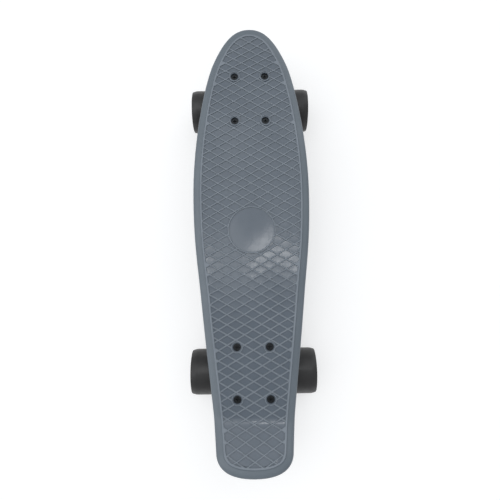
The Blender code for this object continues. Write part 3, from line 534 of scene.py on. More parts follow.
def outline_curve():
    """The right side's places and their mirror images, as one closed Bezier curve."""
    bpy.ops.object.select_all(action="DESELECT")
    bpy.ops.curve.primitive_bezier_curve_add()
    curve = bpy.context.object
    curve.data.dimensions = "2D"
    curve.data.fill_mode = "NONE"
    spline = curve.data.splines[0]
    places = [*OUTLINE_PLACES, *[mirrored_place(place) for place in OUTLINE_PLACES[-2:0:-1]]]
    spline.bezier_points.add(len(places) - 2)
    for point, (x, y, heading, before, after) in zip(spline.bezier_points, places):
        angle = math.radians(heading)
        way = Vector((math.sin(angle), -math.cos(angle), 0))
        point.handle_left_type = point.handle_right_type = "FREE"
        point.co = Vector((x, y, 0)) * MM
        point.handle_left = point.co - way * before * MM
        point.handle_right = point.co + way * after * MM
    spline.use_cyclic_u = True
    spline.resolution_u = 18
    return curve


deck = outline_curve()
bpy.ops.object.convert(target="MESH")
deck = bpy.context.object
deck.name = deck.data.name = "deck_moulding"
for vertex in deck.data.vertices:
    vertex.co.y = flat_y(vertex.co.y)
print("deck outline:", len(deck.data.vertices), "points")

# %% [markdown]
# The edge and the border rib are a row of insets: each moves the outline inwards and up, so a list of
# places from the outside in is all it takes. The material slot of a face serves as its label while the
# next cells work on it.

# %% Deck edge and border rib
EDGE_WALL_TOP = -6.3 * MM  # heights run down from the crest of the ribs
EDGE_WALL_FOOT = -9.0 * MM
EDGE_STEPS_MM = (
    (0.2, -5.6), (0.6, -4.85), (1.15, -4.2), (1.9, -3.6), (2.9, -3.0), (4.3, -2.45), (6.3, -1.95),
    (7.9, -1.65), (8.6, -1.45), (8.95, -1.1), (9.15, -0.45), (9.35, -0.12), (9.7, 0.0), (10.8, 0.0),
)
UNDER_STEPS_MM = ((0.12, -9.9), (0.4, -10.3), (0.9, -10.5), (3.1, -10.5))
MOULDED, FIELD, TAIL_FIELD, NOSE_FIELD, UNDER = range(5)
FIELDS = (FIELD, TAIL_FIELD, NOSE_FIELD)


def step_in(steps_mm, start, up):
    """Insets the selected face through (distance in, height) places. Up is 1, or -1 underneath."""
    before = (0.0, start / MM)
    for place in steps_mm:
        thickness = (place[0] - before[0]) * MM
        depth = (place[1] - before[1]) * up * MM
        bpy.ops.mesh.inset(thickness=thickness, depth=depth, use_even_offset=True)
        before = place


def label(value):
    """Gives every selected face a label."""
    mesh = bpy.context.edit_object.data
    for face in bmesh.from_edit_mesh(mesh).faces:
        if face.select:
            face.material_index = value


for finish in (SATIN_PLASTIC, POLISHED_PLASTIC, SATIN_PLASTIC, SATIN_PLASTIC, SATIN_PLASTIC):
    deck.data.materials.append(finish)
edit(deck)
bpy.ops.mesh.select_all(action="SELECT")
bpy.ops.mesh.remove_doubles(threshold=0.01 * MM)
bpy.ops.mesh.edge_face_add()
bpy.ops.transform.translate(value=(0, 0, EDGE_WALL_TOP))
bpy.ops.mesh.extrude_region_move(TRANSFORM_OT_translate={"value": (0, 0, EDGE_WALL_FOOT - EDGE_WALL_TOP)})
bpy.ops.mesh.select_all(action="SELECT")
bpy.ops.mesh.normals_make_consistent(inside=False)
pick(lambda face: face.normal.z > 0.9)
step_in(EDGE_STEPS_MM, EDGE_WALL_TOP, 1)
label(FIELD)
pick(lambda face: face.normal.z < -0.9)
step_in(UNDER_STEPS_MM, EDGE_WALL_FOOT, -1)
label(UNDER)
done()
print("deck blank:", len(deck.data.polygons), "faces")

# %% [markdown]
# Underneath, cross ribs and two long ribs stiffen the deck, and two solid pads carry the trucks. The
# bottom face is cut along the middle of each rib, and each cell is sunk with a drafted wall, so that
# the part comes off its mould.

# %% Underside
UNDER_RIB_MM = 2.0
UNDER_POCKET_STEPS_MM = ((0.2, 0.2), (0.5, 4.6), (0.6, 0.5), (0.8, 0.2))
UNDER_RIB_LINE = 29.0 * MM
PAD_HALF_LENGTH = 42.0 * MM
TRUCK_SPACING = 362.3 * MM
ROWS_BETWEEN_TRUCKS = 7
ROWS_IN_PAD = 2
ROW_PAST_PAD = 27.0 * MM
SMALLEST_POCKET = 9.0 * MM
SHORTEST_SIDE = 1.6 * MM


def narrow(face, width):
    """Whether a face is less wide than a square of that width, by its area and its edge."""
    return 4 * face.calc_area() < width * face.calc_perimeter()


def under_rib_rows():
    """The y of each cross rib: evenly between the trucks, along each pad, and one past it."""
    inner = TRUCK_SPACING / 2 - PAD_HALF_LENGTH
    outer = TRUCK_SPACING / 2 + PAD_HALF_LENGTH
    rows = [inner * (2 * i / ROWS_BETWEEN_TRUCKS - 1) for i in range(1, ROWS_BETWEEN_TRUCKS)]
    for i in range(ROWS_IN_PAD + 1):
        place = inner + 2 * PAD_HALF_LENGTH * i / ROWS_IN_PAD
        rows += [place, -place]
    return rows + [outer + ROW_PAST_PAD, -outer - ROW_PAST_PAD]


def on_pad(face):
    centre = face.calc_center_median()
    return abs(centre.x) < UNDER_RIB_LINE and abs(abs(centre.y) - TRUCK_SPACING / 2) < PAD_HALF_LENGTH


def sink(steps_mm, rib_mm):
    """Sinks each selected face through (distance in, drop) steps, and leaves a rib around it."""
    bpy.ops.mesh.inset(thickness=rib_mm / 2 * MM, use_individual=True, use_even_offset=True)
    for thickness, drop in steps_mm:
        bpy.ops.mesh.inset(thickness=thickness * MM, depth=-drop * MM, use_individual=True,
                           use_even_offset=True)


edit(deck)
for y in under_rib_rows():
    cut_across(lambda face: face.material_index == UNDER, (0, y, 0), (0, 1, 0))
for x in (UNDER_RIB_LINE, -UNDER_RIB_LINE):
    cut_across(lambda face: face.material_index == UNDER, (x, 0, 0), (1, 0, 0))
close_short_sides(SHORTEST_SIDE, UNDER)
pockets = pick(lambda face: face.material_index == UNDER and not on_pad(face)
               and not narrow(face, SMALLEST_POCKET))
sink(UNDER_POCKET_STEPS_MM, UNDER_RIB_MM)
done()
print("underside:", pockets, "pockets")

# %% [markdown]
# On top, two families of slanting lines cross the whole field. Their spacing was measured in the photo:
# it is a little longer on the kicktail and shorter on the nose. Each diamond between them is sunk with
# a rounded top edge, a steep wall and a soft corner at its floor, which leaves thin ribs. The floors
# keep the polished finish.

# %% Lattice of diamonds
DIAMOND_WIDTH = 21.9 * MM
TAIL_DIAMOND_LENGTH = 14.3 * MM
DIAMOND_LENGTH = 12.7 * MM
NOSE_DIAMOND_LENGTH = 11.7 * MM
TAIL_ROW = -254.8 * MM  # the row of crossings where the tail's longer diamonds begin
NOSE_ROW = TAIL_ROW + 37 * DIAMOND_LENGTH  # and where the nose's shorter ones begin
SMALLEST_DIAMOND = 3.6 * MM
LATTICE_RIB_MM = 0.75
DIAMOND_STEPS_MM = ((0.22, 0.08), (0.28, 0.94), (0.25, 0.1))
PAST_THE_EDGE = 6 * MM
POLISHED_SLOT = 1


def in_field(item):
    """Whether all faces at an edge or a point belong to the lattice."""
    return all(face.material_index in FIELDS for face in item.link_faces)


edit(deck)
for row, towards, field in ((TAIL_ROW, -1, TAIL_FIELD), (NOSE_ROW, 1, NOSE_FIELD)):
    cut_across(lambda face: face.material_index == FIELD, (0, row, 0), (0, 1, 0))
    pick(lambda face: face.material_index == FIELD and towards * (face.calc_center_median().y - row) > 0)
    label(field)
for field, length, start, near, far in (
    (FIELD, DIAMOND_LENGTH, TAIL_ROW, TAIL_ROW, NOSE_ROW),
    (TAIL_FIELD, TAIL_DIAMOND_LENGTH, TAIL_ROW, -TAIL_REACH_MM * MM, TAIL_ROW),
    (NOSE_FIELD, NOSE_DIAMOND_LENGTH, NOSE_ROW, NOSE_ROW, NOSE_REACH_MM * MM),
):
    reach = WIDEST_MM * MM * length / DIAMOND_WIDTH + PAST_THE_EDGE
    first = math.floor((near - reach - start) / length)
    last = math.ceil((far + reach - start) / length)
    for i in range(first, last + 1):
        for lean in (1, -1):
            cut_across(lambda face: face.material_index == field, (0, start + i * length, 0),
                       (lean * length, DIAMOND_WIDTH, 0))
for row in (TAIL_ROW, NOSE_ROW):
    pick_edges(lambda edge: in_field(edge)
               and all(abs(vert.co.y - row) < 0.01 * MM for vert in edge.verts))
    bpy.ops.mesh.dissolve_edges(use_verts=False)
short = close_short_sides(SHORTEST_SIDE, *FIELDS)
diamonds = pick(lambda face: face.material_index in FIELDS and not narrow(face, SMALLEST_DIAMOND))
sink(DIAMOND_STEPS_MM, LATTICE_RIB_MM)
for face in bmesh.from_edit_mesh(deck.data).faces:
    face.material_index = POLISHED_SLOT if face.select else MOULDED
done()
print("closed up", short, "short sides")
print("lattice:", diamonds, "diamonds,", len(deck.data.polygons), "faces")

# %% [markdown]
# A thin round ring stands round each bolt hole and round the medallion. They are turned shapes that are
# fused with the lattice, and then their middles are cut out with turned cutters. A bolt's recess steps
# down from a narrow ledge to a seat for its head; all of it below the crest is painted in the darker
# polished finish of the pockets, which also stands in as painted shade for a deeper recess. The
# medallion is a bare, shallow, polished disc that bulges a little in the middle.

# %% Bolt rings and medallion
BOLT_SPACING_LONG = 63.5 * MM
BOLT_SPACING_WIDE = 41.28 * MM
BOSS_PROFILE_MM = ((0, 0.3), (7.05, 0.3), (7.22, 0.22), (7.3, 0.05), (7.3, -2.5), (0, -2.5))
SEAT_PROFILE_MM = (
    (0, 3.0), (6.6, 3.0), (6.6, 0.3), (6.5, 0.1), (6.4, -0.3), (6.25, -0.4), (5.25, -0.45), (5.1, -0.6),
    (5.02, -3.35), (2.68, -5.7), (2.68, -20.0), (0, -20.0),
)
MEDALLION_PROFILE_MM = ((0, 0.3), (30.75, 0.3), (31.0, 0.2), (31.1, 0.0), (31.1, -2.5), (0, -2.5))
DISH_PROFILE_MM = (
    (0, 3.0), (30.15, 3.0), (30.15, 0.3), (29.95, 0.2), (29.85, 0.0), (29.8, -0.55), (29.6, -0.8),
    (29.2, -0.87), (26.0, -0.8), (22.0, -0.72), (17.0, -0.64), (11.0, -0.57), (5.0, -0.54), (0, -0.53),
)
DISH_POLISH_MM = 29.3  # how far out the disc's floor is polished
RING_STEPS = 128


def truck_bolt_places():
    """Where the eight deck bolts stand, on the deck while it is flat."""
    for end in (1, -1):
        for y in (1, -1):
            for x in (-1, 1):
                yield x * BOLT_SPACING_WIDE / 2, end * TRUCK_SPACING / 2 + y * BOLT_SPACING_LONG / 2


bosses = [turn("boss", BOSS_PROFILE_MM, Matrix.Translation((x, y, 0))) for x, y in truck_bolt_places()]
seats = [turn("seat", SEAT_PROFILE_MM, Matrix.Translation((x, y, 0))) for x, y in truck_bolt_places()]
bosses.append(turn("medallion", MEDALLION_PROFILE_MM, steps=RING_STEPS))
dish = turn("dish", DISH_PROFILE_MM, steps=RING_STEPS)
for boss in bosses:
    paint(boss, SATIN_PLASTIC)
for seat in seats:
    # Below the crest the recess is painted in the darker polished finish, which also serves as painted
    # shade in the recess.
    paint(seat, SATIN_PLASTIC, (POLISHED_PLASTIC, lambda centre: centre.z < 0))
paint(dish, SATIN_PLASTIC,
      (POLISHED_PLASTIC, lambda centre: centre.z < 0 and centre.xy.length < DISH_POLISH_MM))
combine(deck, join(bosses, "bosses"), "UNION")
combine(deck, join([dish, *seats], "seats"), "DIFFERENCE")
print("deck with its rings:", len(deck.data.polygons), "faces")

# %% [markdown]
# The crests of all ribs are painted paler: every face that lies at the top gets a paler finish, a
# painted highlight for the light that the ribs' rounded edges catch. It takes a slot that only a label
# used.

# %% Painted highlight on the crests
CREST_SLOT = 2
CREST_DEPTH = 0.09 * MM

# The crests get the paler finish, a painted highlight.
deck.data.materials[CREST_SLOT] = CREST_HIGHLIGHT_PLASTIC
crests = [face for face in deck.data.polygons if face.center.z > -CREST_DEPTH and face.normal.z > 0.5]
for face in crests:
    face.material_index = CREST_SLOT
print(len(crests), "faces on crests")

# %% [markdown]
# Last come the bends. A vertex group holds how far each point rises for the shallow concave, which is
# highest at the long edges, and a Displace step lifts it. Two Simple Deform bends then curl the tail up
# into a kick and lift the nose a little. Each bend turns about an empty at its start, and its limits
# say how long the curl is; past them the deck runs on straight. Lines are cut across the curl first, so
# that it has points to bend at.

# %% Bends
CONCAVE_START = UNDER_RIB_LINE
CONCAVE_RISE = 3.0 * MM
CURL_CUTS = 10


def curl(obj, start, radius, angle, towards):
    """Bends all that lies past start on one side: towards is 1 for the nose and -1 for the tail."""
    hinge = bpy.data.objects.new("hinge", None)
    bpy.context.scene.collection.objects.link(hinge)
    hinge.matrix_world = Matrix.Translation((0, towards * start, 0)) @ Matrix(
        ((-towards, 0, 0, 0), (0, 0, towards, 0), (0, 1, 0, 0), (0, 0, 0, 1)))
    bpy.context.view_layer.update()
    along = [towards * vertex.co.y - start for vertex in obj.data.vertices]
    low, high = min(along), max(along)
    limits = (-low / (high - low), (min(radius * angle, high) - low) / (high - low))
    apply_step(obj, "curl", "SIMPLE_DEFORM", deform_method="BEND", deform_axis="X", origin=hinge,
               angle=min(angle, high / radius), limits=limits)
    bpy.data.objects.remove(hinge)


edit(deck)
for start, radius, angle, towards in (
    (KICK_START, KICK_RADIUS, KICK_ANGLE, -1),
    (NOSE_RISE_START, NOSE_RADIUS, NOSE_ANGLE, 1),
):
    for i in range(CURL_CUTS + 1):
        y = towards * (start + radius * angle * i / CURL_CUTS)
        bpy.ops.mesh.select_all(action="SELECT")
        bpy.ops.mesh.bisect(plane_co=(0, y, 0), plane_no=(0, 1, 0), threshold=CUT_TOLERANCE)
done()
rise = deck.vertex_groups.new(name="concave")
for vertex in deck.data.vertices:
    out = max(0.0, abs(vertex.co.x) - CONCAVE_START) / (WIDEST_MM * MM - CONCAVE_START)
    rise.add([vertex.index], min(1.0, out * out), "REPLACE")
apply_step(deck, "concave", "DISPLACE", direction="Z", strength=CONCAVE_RISE, mid_level=0.0,
           vertex_group="concave")
curl(deck, KICK_START, KICK_RADIUS, KICK_ANGLE, -1)
curl(deck, NOSE_RISE_START, NOSE_RADIUS, NOSE_ANGLE, 1)
deck.location = (0, MID_Y, CREST)
settle(deck)
smooth(deck, 32)
hand_over(deck, "deck_plastic", "deck")
points = [vertex.co / MM for vertex in deck.data.vertices]
for name, extreme, corner in (("low", min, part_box("deck")[0]), ("high", max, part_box("deck")[1])):
    reached = [round(extreme(point[i] for point in points), 2) for i in range(3)]
    print("deck's", name, "corner, mm:", reached, "and the CAD's:", [round(v / MM, 2) for v in corner])

# %% [markdown]
# ## Wheels
# A wheel is one ring of urethane that is poured into a turned mould, so one profile spun about the
# axle gives all of it: the bearing seats, the dished sides, the round lips and the flat tread. The
# profile is drawn for one side of the wheel and mirrored for the other, and the finished wheel is
# copied to its four places, which the CAD nodes give.

# %% Wheel
WHEEL_STEPS = 96
HALF_WHEEL_MM = (
    (9.0, 0.0), (9.0, 4.4), (9.3, 4.7), (11.15, 4.7), (11.15, 12.6), (11.5, 13.0), (14.3, 13.0),
    (14.9, 13.15), (15.6, 13.6), (17.0, 14.5), (19.0, 15.9), (21.2, 17.8), (23.2, 20.0), (24.5, 21.7),
    (25.2, 22.5), (25.9, 22.9), (26.5, 23.0), (27.7, 23.0), (28.2, 22.87), (28.5, 22.6), (28.65, 22.2),
    (28.95, 21.1), (29.4, 19.5), (29.8, 17.6), (30.0, 15.5),
)
ENDS_AND_SIDES = (("front", "left"), ("front", "right"), ("rear", "left"), ("rear", "right"))


def mirrored(half_profile):
    """A closed profile from the half of it that lies above z = 0."""
    below = [(radius, -height) for radius, height in reversed(half_profile)]
    return (*half_profile, *below, half_profile[0])


def middle_of(node):
    low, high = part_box(node)
    return (low + high) / 2


def across(node, outward=1):
    """The place of a piece that is modelled about Z and belongs on an axle, which runs along X."""
    return Matrix.Translation(middle_of(node)) @ Matrix.Rotation(outward * math.pi / 2, 4, "Y")


wheel = paint(turn("wheel", mirrored(HALF_WHEEL_MM), steps=WHEEL_STEPS), WHEEL_URETHANE)
smooth(wheel, 40)
for end, side in ENDS_AND_SIDES:
    node = f"{end}_{side}_wheel"
    hand_over(copy_to(wheel, f"{node}_urethane", across(node)), "wheel_urethane", node)
bpy.data.objects.remove(wheel)

# %% [markdown]
# ## Bearings
# Two sealed ball bearings sit in each wheel. What shows of one is its two ground steel rings and the
# rubber seal that lies a little below them, so it is turned in one profile and the band between the
# rings is painted as rubber.

# %% Bearings
BEARING_STEPS = 64
HALF_BEARING_MM = (
    (4.05, 0.0), (4.05, 3.25), (4.3, 3.5), (5.85, 3.5), (6.0, 3.3), (6.05, 3.1), (6.3, 3.1), (6.5, 3.25),
    (9.0, 3.25), (9.2, 3.1), (9.45, 3.1), (9.5, 3.3), (9.65, 3.5), (10.7, 3.5), (11.0, 3.2),
)
SEAL_MM = (6.1, 9.4)  # from this radius to that one
SEAL_ABOVE_MM = 3.0


def on_seal(centre):
    radius = math.hypot(centre.x, centre.y)
    return SEAL_MM[0] < radius < SEAL_MM[1] and abs(centre.z) > SEAL_ABOVE_MM


bearing = turn("bearing", mirrored(HALF_BEARING_MM), steps=BEARING_STEPS)
paint(bearing, GROUND_STEEL, (SEAL_RUBBER, on_seal))
smooth(bearing, 35)
for end, side in ENDS_AND_SIDES:
    for which in ("inner", "outer"):
        node = f"{end}_{side}_bearing_{which}"
        hand_over(copy_to(bearing, f"{node}_sealed", across(node)), "bright_hardware", node)
bpy.data.objects.remove(bearing)

# %% [markdown]
# ## Screws and nuts
# A screw thread is drawn as a row of rings, which looks the same as a spiral at this size and spins in
# one go with the rest of the screw.

# %% Threads
def thread(radius, top, bottom, pitch, depth):
    """Ridges down a screw, as (radius, height) places in mm."""
    ridges = []
    height = top
    while height - pitch > bottom:
        ridges += [(radius, height), (radius - depth, height - pitch / 2)]
        height -= pitch
    return (*ridges, (radius, height))


# %% [markdown]
# Lock nuts start as a six-sided cylinder. The overlap with a turned shape rounds off the hexagon's
# corners as a lathe does, and a collar is fused on top, which holds a nylon ring.

# %% Lock nuts
OVERCUT = 0.5  # how far a cutter reaches past what it cuts
FLATS = 0.87  # a hexagon's flats lie this share of its corner radius out
CHAMFER_SLOPE = 1.75  # how fast the turned chamfer widens
COLLAR = 0.75  # the collar's radius as a share of the corner radius
INSERT_HEIGHT = 1.5


def chamfered(name, corner, height):
    """A hexagon that stands on z = 0, with the corners of both its ends turned off."""
    bpy.ops.object.select_all(action="DESELECT")
    bpy.ops.mesh.primitive_cylinder_add(vertices=6, radius=corner * MM, depth=height * MM,
                                        location=(0, 0, height / 2 * MM))
    nut = bpy.context.object
    nut.name = nut.data.name = name
    settle(nut)
    wide = 1.05 * corner
    cut = (wide - FLATS * corner) / CHAMFER_SLOPE
    narrowest = FLATS * corner - OVERCUT * CHAMFER_SLOPE
    combine(nut, turn("corner_cut", (
        (0, -OVERCUT), (narrowest, -OVERCUT), (wide, cut),
        (wide, height - cut), (narrowest, height + OVERCUT), (0, height + OVERCUT),
    )), "INTERSECT")
    return nut


def lock_nut(name, corner, bore, flats_height, height, steel):
    """A lock nut with its nylon ring up. Sizes are in mm, and corner is the hexagon's radius."""
    nut = chamfered(name, corner, flats_height)
    wall = COLLAR * corner
    ring = (bore + wall) / 2
    ring_foot = height - INSERT_HEIGHT
    combine(nut, turn("collar", (
        (0, flats_height - OVERCUT), (wall, flats_height - OVERCUT), (wall, height - 0.6),
        (wall - 0.15, height - 0.25), (wall - 0.5, height), (0, height),
    )), "UNION")
    combine(nut, turn("hole", (
        (0, -1), (bore + 0.9, -1), (bore, 0.5), (bore, ring_foot),
        (ring, ring_foot), (ring, height + 1), (0, height + 1),
    )), "DIFFERENCE")
    insert = turn("nylon_ring", (
        (bore - 0.1, ring_foot), (ring, ring_foot), (ring, height - 0.3),
        (bore + 0.2, height - 0.25), (bore - 0.1, height - 0.5), (bore - 0.1, ring_foot),
    ))
    return join([paint(nut, steel), paint(insert, NYLON)], name)


# %% [markdown]
# ### Deck bolts
# Eight flat-headed machine screws hold the trucks. Each head is a shallow cone with a cross recess for
# the driver, which is cut with two tapered blades, and its threaded end reaches down through the deck
# and the baseplate.

# %% Deck bolts and nuts
BOLT_PROFILE_MM = (
    (0, 0), (4.6, 0), (4.75, -0.07), (4.8, -0.22), (4.75, -0.4), (2.38, -2.6), (2.38, -17.6),
    *thread(2.38, -18.0, -25.0, 0.8, 0.38), (1.8, -25.4), (0, -25.4),
)
BLADE_TIP, BLADE_TIP_HALF = (0, 0, -2.1), (0.9, 0.32)
BLADE_TOP, BLADE_TOP_HALF = (0, 0, 0.4), (2.75, 0.66)
QUARTER_TURN = Matrix.Rotation(math.pi / 2, 4, "Z")
UPSIDE_DOWN = Matrix.Rotation(math.pi, 4, "X")

deck_bolt = turn("deck_bolt", BOLT_PROFILE_MM, steps=40)
blades = [bar("blade", BLADE_TIP, BLADE_TIP_HALF, BLADE_TOP, BLADE_TOP_HALF, way)
          for way in (Matrix.Identity(4), QUARTER_TURN)]
combine(blades[0], blades[1], "UNION")
combine(deck_bolt, blades[0], "DIFFERENCE")
paint(deck_bolt, BLACK_OXIDE)
smooth(deck_bolt, 30)
deck_nut = lock_nut("deck_nut", 5.4, 2.45, 3.2, 4.8, BLACK_OXIDE)
smooth(deck_nut, 30)
for end in ("front", "rear"):
    for number in (1, 2, 3, 4):
        for piece, node, ending, way_up in (
            (deck_bolt, f"{end}_deck_bolt_{number}", "cross_head", Matrix.Identity(4)),
            (deck_nut, f"{end}_deck_nut_{number}", "lock", UPSIDE_DOWN),
        ):
            top = middle_of(node)
            top.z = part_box(node)[1].z
            place = Matrix.Translation(top) @ way_up
            hand_over(copy_to(piece, f"{node}_{ending}", place), "black_hardware", node)
for spare in (deck_bolt, deck_nut):
    bpy.data.objects.remove(spare)

# %% [markdown]
# ### Axles
# An axle is one plated rod with a thread and a chamfer at each end. A thin speed washer sits against
# the hanger at either side, and another under each nut, so that the bearings turn freely. The rod and
# its two inner washers never part, so one mirrored profile gives all three, and the outer washer is
# joined to its nut in the same way.

# %% Axles and their nuts
AXLE_RADIUS = 3.97
HALF_AXLE_MM = (
    (0, 79.9), (3.3, 79.9), *thread(AXLE_RADIUS, 79.3, 70.0, 1.06, 0.5), (AXLE_RADIUS, 46.8), (6.7, 46.8),
    (6.9, 46.65), (6.9, 45.95), (6.7, 45.8), (AXLE_RADIUS, 45.8),
)
WASHER_MM = (
    (4.2, -1.0), (6.7, -1.0), (6.9, -0.85), (6.9, -0.15), (6.7, -0.02), (4.2, -0.02), (4.2, -1.0),
)
NUT_MIDDLE = -2.5 * MM  # halfway between the nut's end and its washer's

axle = paint(turn("axle", mirrored(HALF_AXLE_MM)[:-1]), BRIGHT_ZINC)
smooth(axle, 30)
axle_nut = lock_nut("axle_nut", 7.3, 4.05, 4.3, 6.0, BRIGHT_ZINC)
axle_nut = join([axle_nut, paint(turn("speed_washer", WASHER_MM), BRIGHT_ZINC)], "axle_nut")
smooth(axle_nut, 30)
for end, side in ENDS_AND_SIDES:
    if side == "left":
        node = f"{end}_axle"
        hand_over(copy_to(axle, f"{node}_rod", across(node)), "bright_hardware", node)
    node = f"{end}_{side}_axle_nut"
    outward = math.copysign(1, middle_of(node).x)
    place = across(node, outward) @ Matrix.Translation((0, 0, NUT_MIDDLE))
    hand_over(copy_to(axle_nut, f"{node}_lock", place), "bright_hardware", node)
for spare in (axle, axle_nut):
    bpy.data.objects.remove(spare)

# %% [markdown]
# ## Trucks
# Both trucks are the same casting work, turned half round. So every piece of the front one is modelled
# in place, and a copy with its own mesh is turned half a turn about the upright line midway between the
# trucks for the rear one.

# %% Where the truck's pieces stand
TRUCK = Matrix.Translation((0, MID_Y + TRUCK_SPACING / 2, PAD_HEIGHT))
KINGPIN_LEAN = math.radians(20)
RING_CENTRE = Vector((0, -14.5, -30.0))
PIVOT = Vector((0, 24.0, -13.0))
AXLE = Vector((0, 3.9, -39.6))
ARM = PIVOT - AXLE
ON_KINGPIN = TRUCK @ Matrix.Translation(RING_CENTRE * MM) @ Matrix.Rotation(-KINGPIN_LEAN, 4, "X")
ON_PIVOT = TRUCK @ Matrix.Translation(PIVOT * MM) @ Matrix.Rotation(-math.atan2(ARM.y, ARM.z), 4, "X")
ON_AXLE = TRUCK @ Matrix.Translation(AXLE * MM) @ Matrix.Rotation(math.pi / 2, 4, "Y")
HALF_TURN = (Matrix.Translation((0, MID_Y, 0)) @ Matrix.Rotation(math.pi, 4, "Z")
             @ Matrix.Translation((0, -MID_Y, 0)))


def to_both_trucks(piece, slot, node):
    """Hands over a piece of the front truck, and its copy in the rear one."""
    rear = copy_to(piece, piece.name.replace("front", "rear"), HALF_TURN)
    hand_over(piece, slot, f"front_{node}")
    hand_over(rear, slot, f"rear_{node}")


print("front kingpin's middle, mm:", [round(v / MM, 1) for v in ON_KINGPIN.translation])

# %% [markdown]
# ### Kingpin, washers and nut
# The kingpin is a bolt that leans towards the middle of the board. Its head sits in the baseplate. A
# dished washer cups the free end of each bushing, and the lock nut below sets how hard the two are
# squeezed. All of them are turned about one leaning line, so one matrix places them all.

# %% Kingpin, washers and nut
KINGPIN_RADIUS = 4.76
KINGPIN_MM = (
    (0, 28.7), (6.3, 28.7), (6.9, 28.5), (6.9, 24.2), (KINGPIN_RADIUS, 24.2), (KINGPIN_RADIUS, -16.0),
    *thread(KINGPIN_RADIUS, -16.2, -25.8, 1.06, 0.5), (4.1, -26.4), (0, -26.4),
)
KINGPIN_NUT_TOP = -16.9 * MM
BOARD_WASHER_MM = (
    (5.0, 17.15), (10.6, 17.15), (11.2, 16.9), (11.35, 16.3), (11.4, 15.7), (11.75, 15.5), (12.0, 15.8),
    (12.0, 17.4), (11.6, 18.2), (10.9, 18.6), (5.0, 18.6), (5.0, 17.15),
)
ROAD_WASHER_MM = (
    (5.0, -15.15), (8.9, -15.15), (9.35, -14.9), (9.5, -14.3), (9.55, -13.8), (9.8, -13.65),
    (10.0, -13.9), (10.0, -15.3), (9.6, -16.2), (8.9, -16.6), (5.0, -16.6), (5.0, -15.15),
)

kingpin = paint(turn("front_kingpin_bolt", KINGPIN_MM, ON_KINGPIN), BRIGHT_ZINC)
smooth(kingpin)
to_both_trucks(kingpin, "bright_hardware", "kingpin")
nut_place = ON_KINGPIN @ Matrix.Translation((0, 0, KINGPIN_NUT_TOP)) @ UPSIDE_DOWN
kingpin_nut = lock_nut("kingpin_nut", 8.2, 4.85, 5.2, 7.0, BRIGHT_ZINC)
smooth(kingpin_nut)
front_nut = copy_to(kingpin_nut, "front_kingpin_nut_lock", nut_place)
to_both_trucks(front_nut, "bright_hardware", "kingpin_nut")
bpy.data.objects.remove(kingpin_nut)
for side, profile in (("board_side", BOARD_WASHER_MM), ("road_side", ROAD_WASHER_MM)):
    washer = paint(turn(f"front_cup_washer_{side}_pressed", profile, ON_KINGPIN), BRIGHT_ZINC)
    smooth(washer, 40)
    to_both_trucks(washer, "bright_hardware", f"cup_washer_{side}")

# %% [markdown]
# ### Bushings
# Two soft bushings hold the hanger between them: a barrel above its ring and a cone below. When the
# hanger leans, a bushing is squeezed on one side. Here each is turned in its place and stays there,
# and its CAD node is hidden.

# %% Bushings
BARREL_MM = (
    (5.0, 4.75), (10.4, 4.75), (10.9, 4.95), (11.15, 5.5), (11.35, 6.6), (11.7, 8.0), (11.9, 9.4),
    (12.0, 10.8), (11.9, 12.2), (11.7, 13.6), (11.35, 15.0), (11.1, 15.9), (10.9, 16.5), (10.4, 16.85),
    (5.0, 16.85), (5.0, 14.0), (5.0, 11.0), (5.0, 8.0), (5.0, 4.75),
)
CONE_MM = (
    (5.0, -4.75), (10.4, -4.75), (10.85, -4.95), (11.0, -5.4), (10.75, -6.6), (10.4, -8.2), (10.05, -9.8),
    (9.7, -11.4), (9.4, -12.8), (9.25, -13.8), (9.1, -14.5), (8.6, -14.85), (5.0, -14.85), (5.0, -12.0),
    (5.0, -9.0), (5.0, -4.75),
)

for side, profile, free_end, ring_end in (
    ("board_side", BARREL_MM, 16.8, 4.8),
    ("road_side", CONE_MM, -14.8, -4.8),
):
    for end, turned_by in (("front", Matrix.Identity(4)), ("rear", HALF_TURN)):
        place = turned_by @ ON_KINGPIN
        bushing = paint(turn(f"{end}_bushing_{side}_poured", profile, place), BUSHING_URETHANE)
        smooth(bushing, 40)
        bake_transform(bushing)
        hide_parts(f"{end}_bushing_{side}")

# %% [markdown]
# ### Castings
# The hanger and the baseplate are sand castings, where every corner runs into the next in a soft
# fillet. So the solid shapes are fused, a remesh turns them into one even skin, and a smoothing step
# rounds all corners together. Then the faces that a machinist would cut are cut, after the smoothing,
# so that they stay crisp.

# %% Casting helpers
SKIN_GRID = 0.55 * MM


def cast(solids, name, soften=10):
    """Fuses solids into one casting with soft corners."""
    casting = solids[0]
    casting.name = casting.data.name = name
    for solid in solids[1:]:
        combine(casting, solid, "UNION")
    apply_step(casting, "even_skin", "REMESH", mode="VOXEL", voxel_size=SKIN_GRID)
    apply_step(casting, "fillets", "SMOOTH", factor=0.5, iterations=soften)
    return casting


def machine(casting, cutters):
    """Cuts the machined faces, which get a bright finish. Cutters overlap, so they are fused first."""
    paint(casting, CAST_ALUMINIUM)
    for cutter in cutters:
        paint(cutter, MACHINED_ALUMINIUM)
    for cutter in cutters[1:]:
        combine(cutters[0], cutter, "UNION")
    combine(casting, cutters[0], "DIFFERENCE")
    smooth(casting, 35)


# %% [markdown]
# ### Hanger
# The hanger carries the axle. It is a long round housing with a ring for the kingpin, a web between
# them, and a short arm whose round end sits in the pivot cup. The ring's two faces, its bore, the axle's
# bore and the housing's ends are machined.

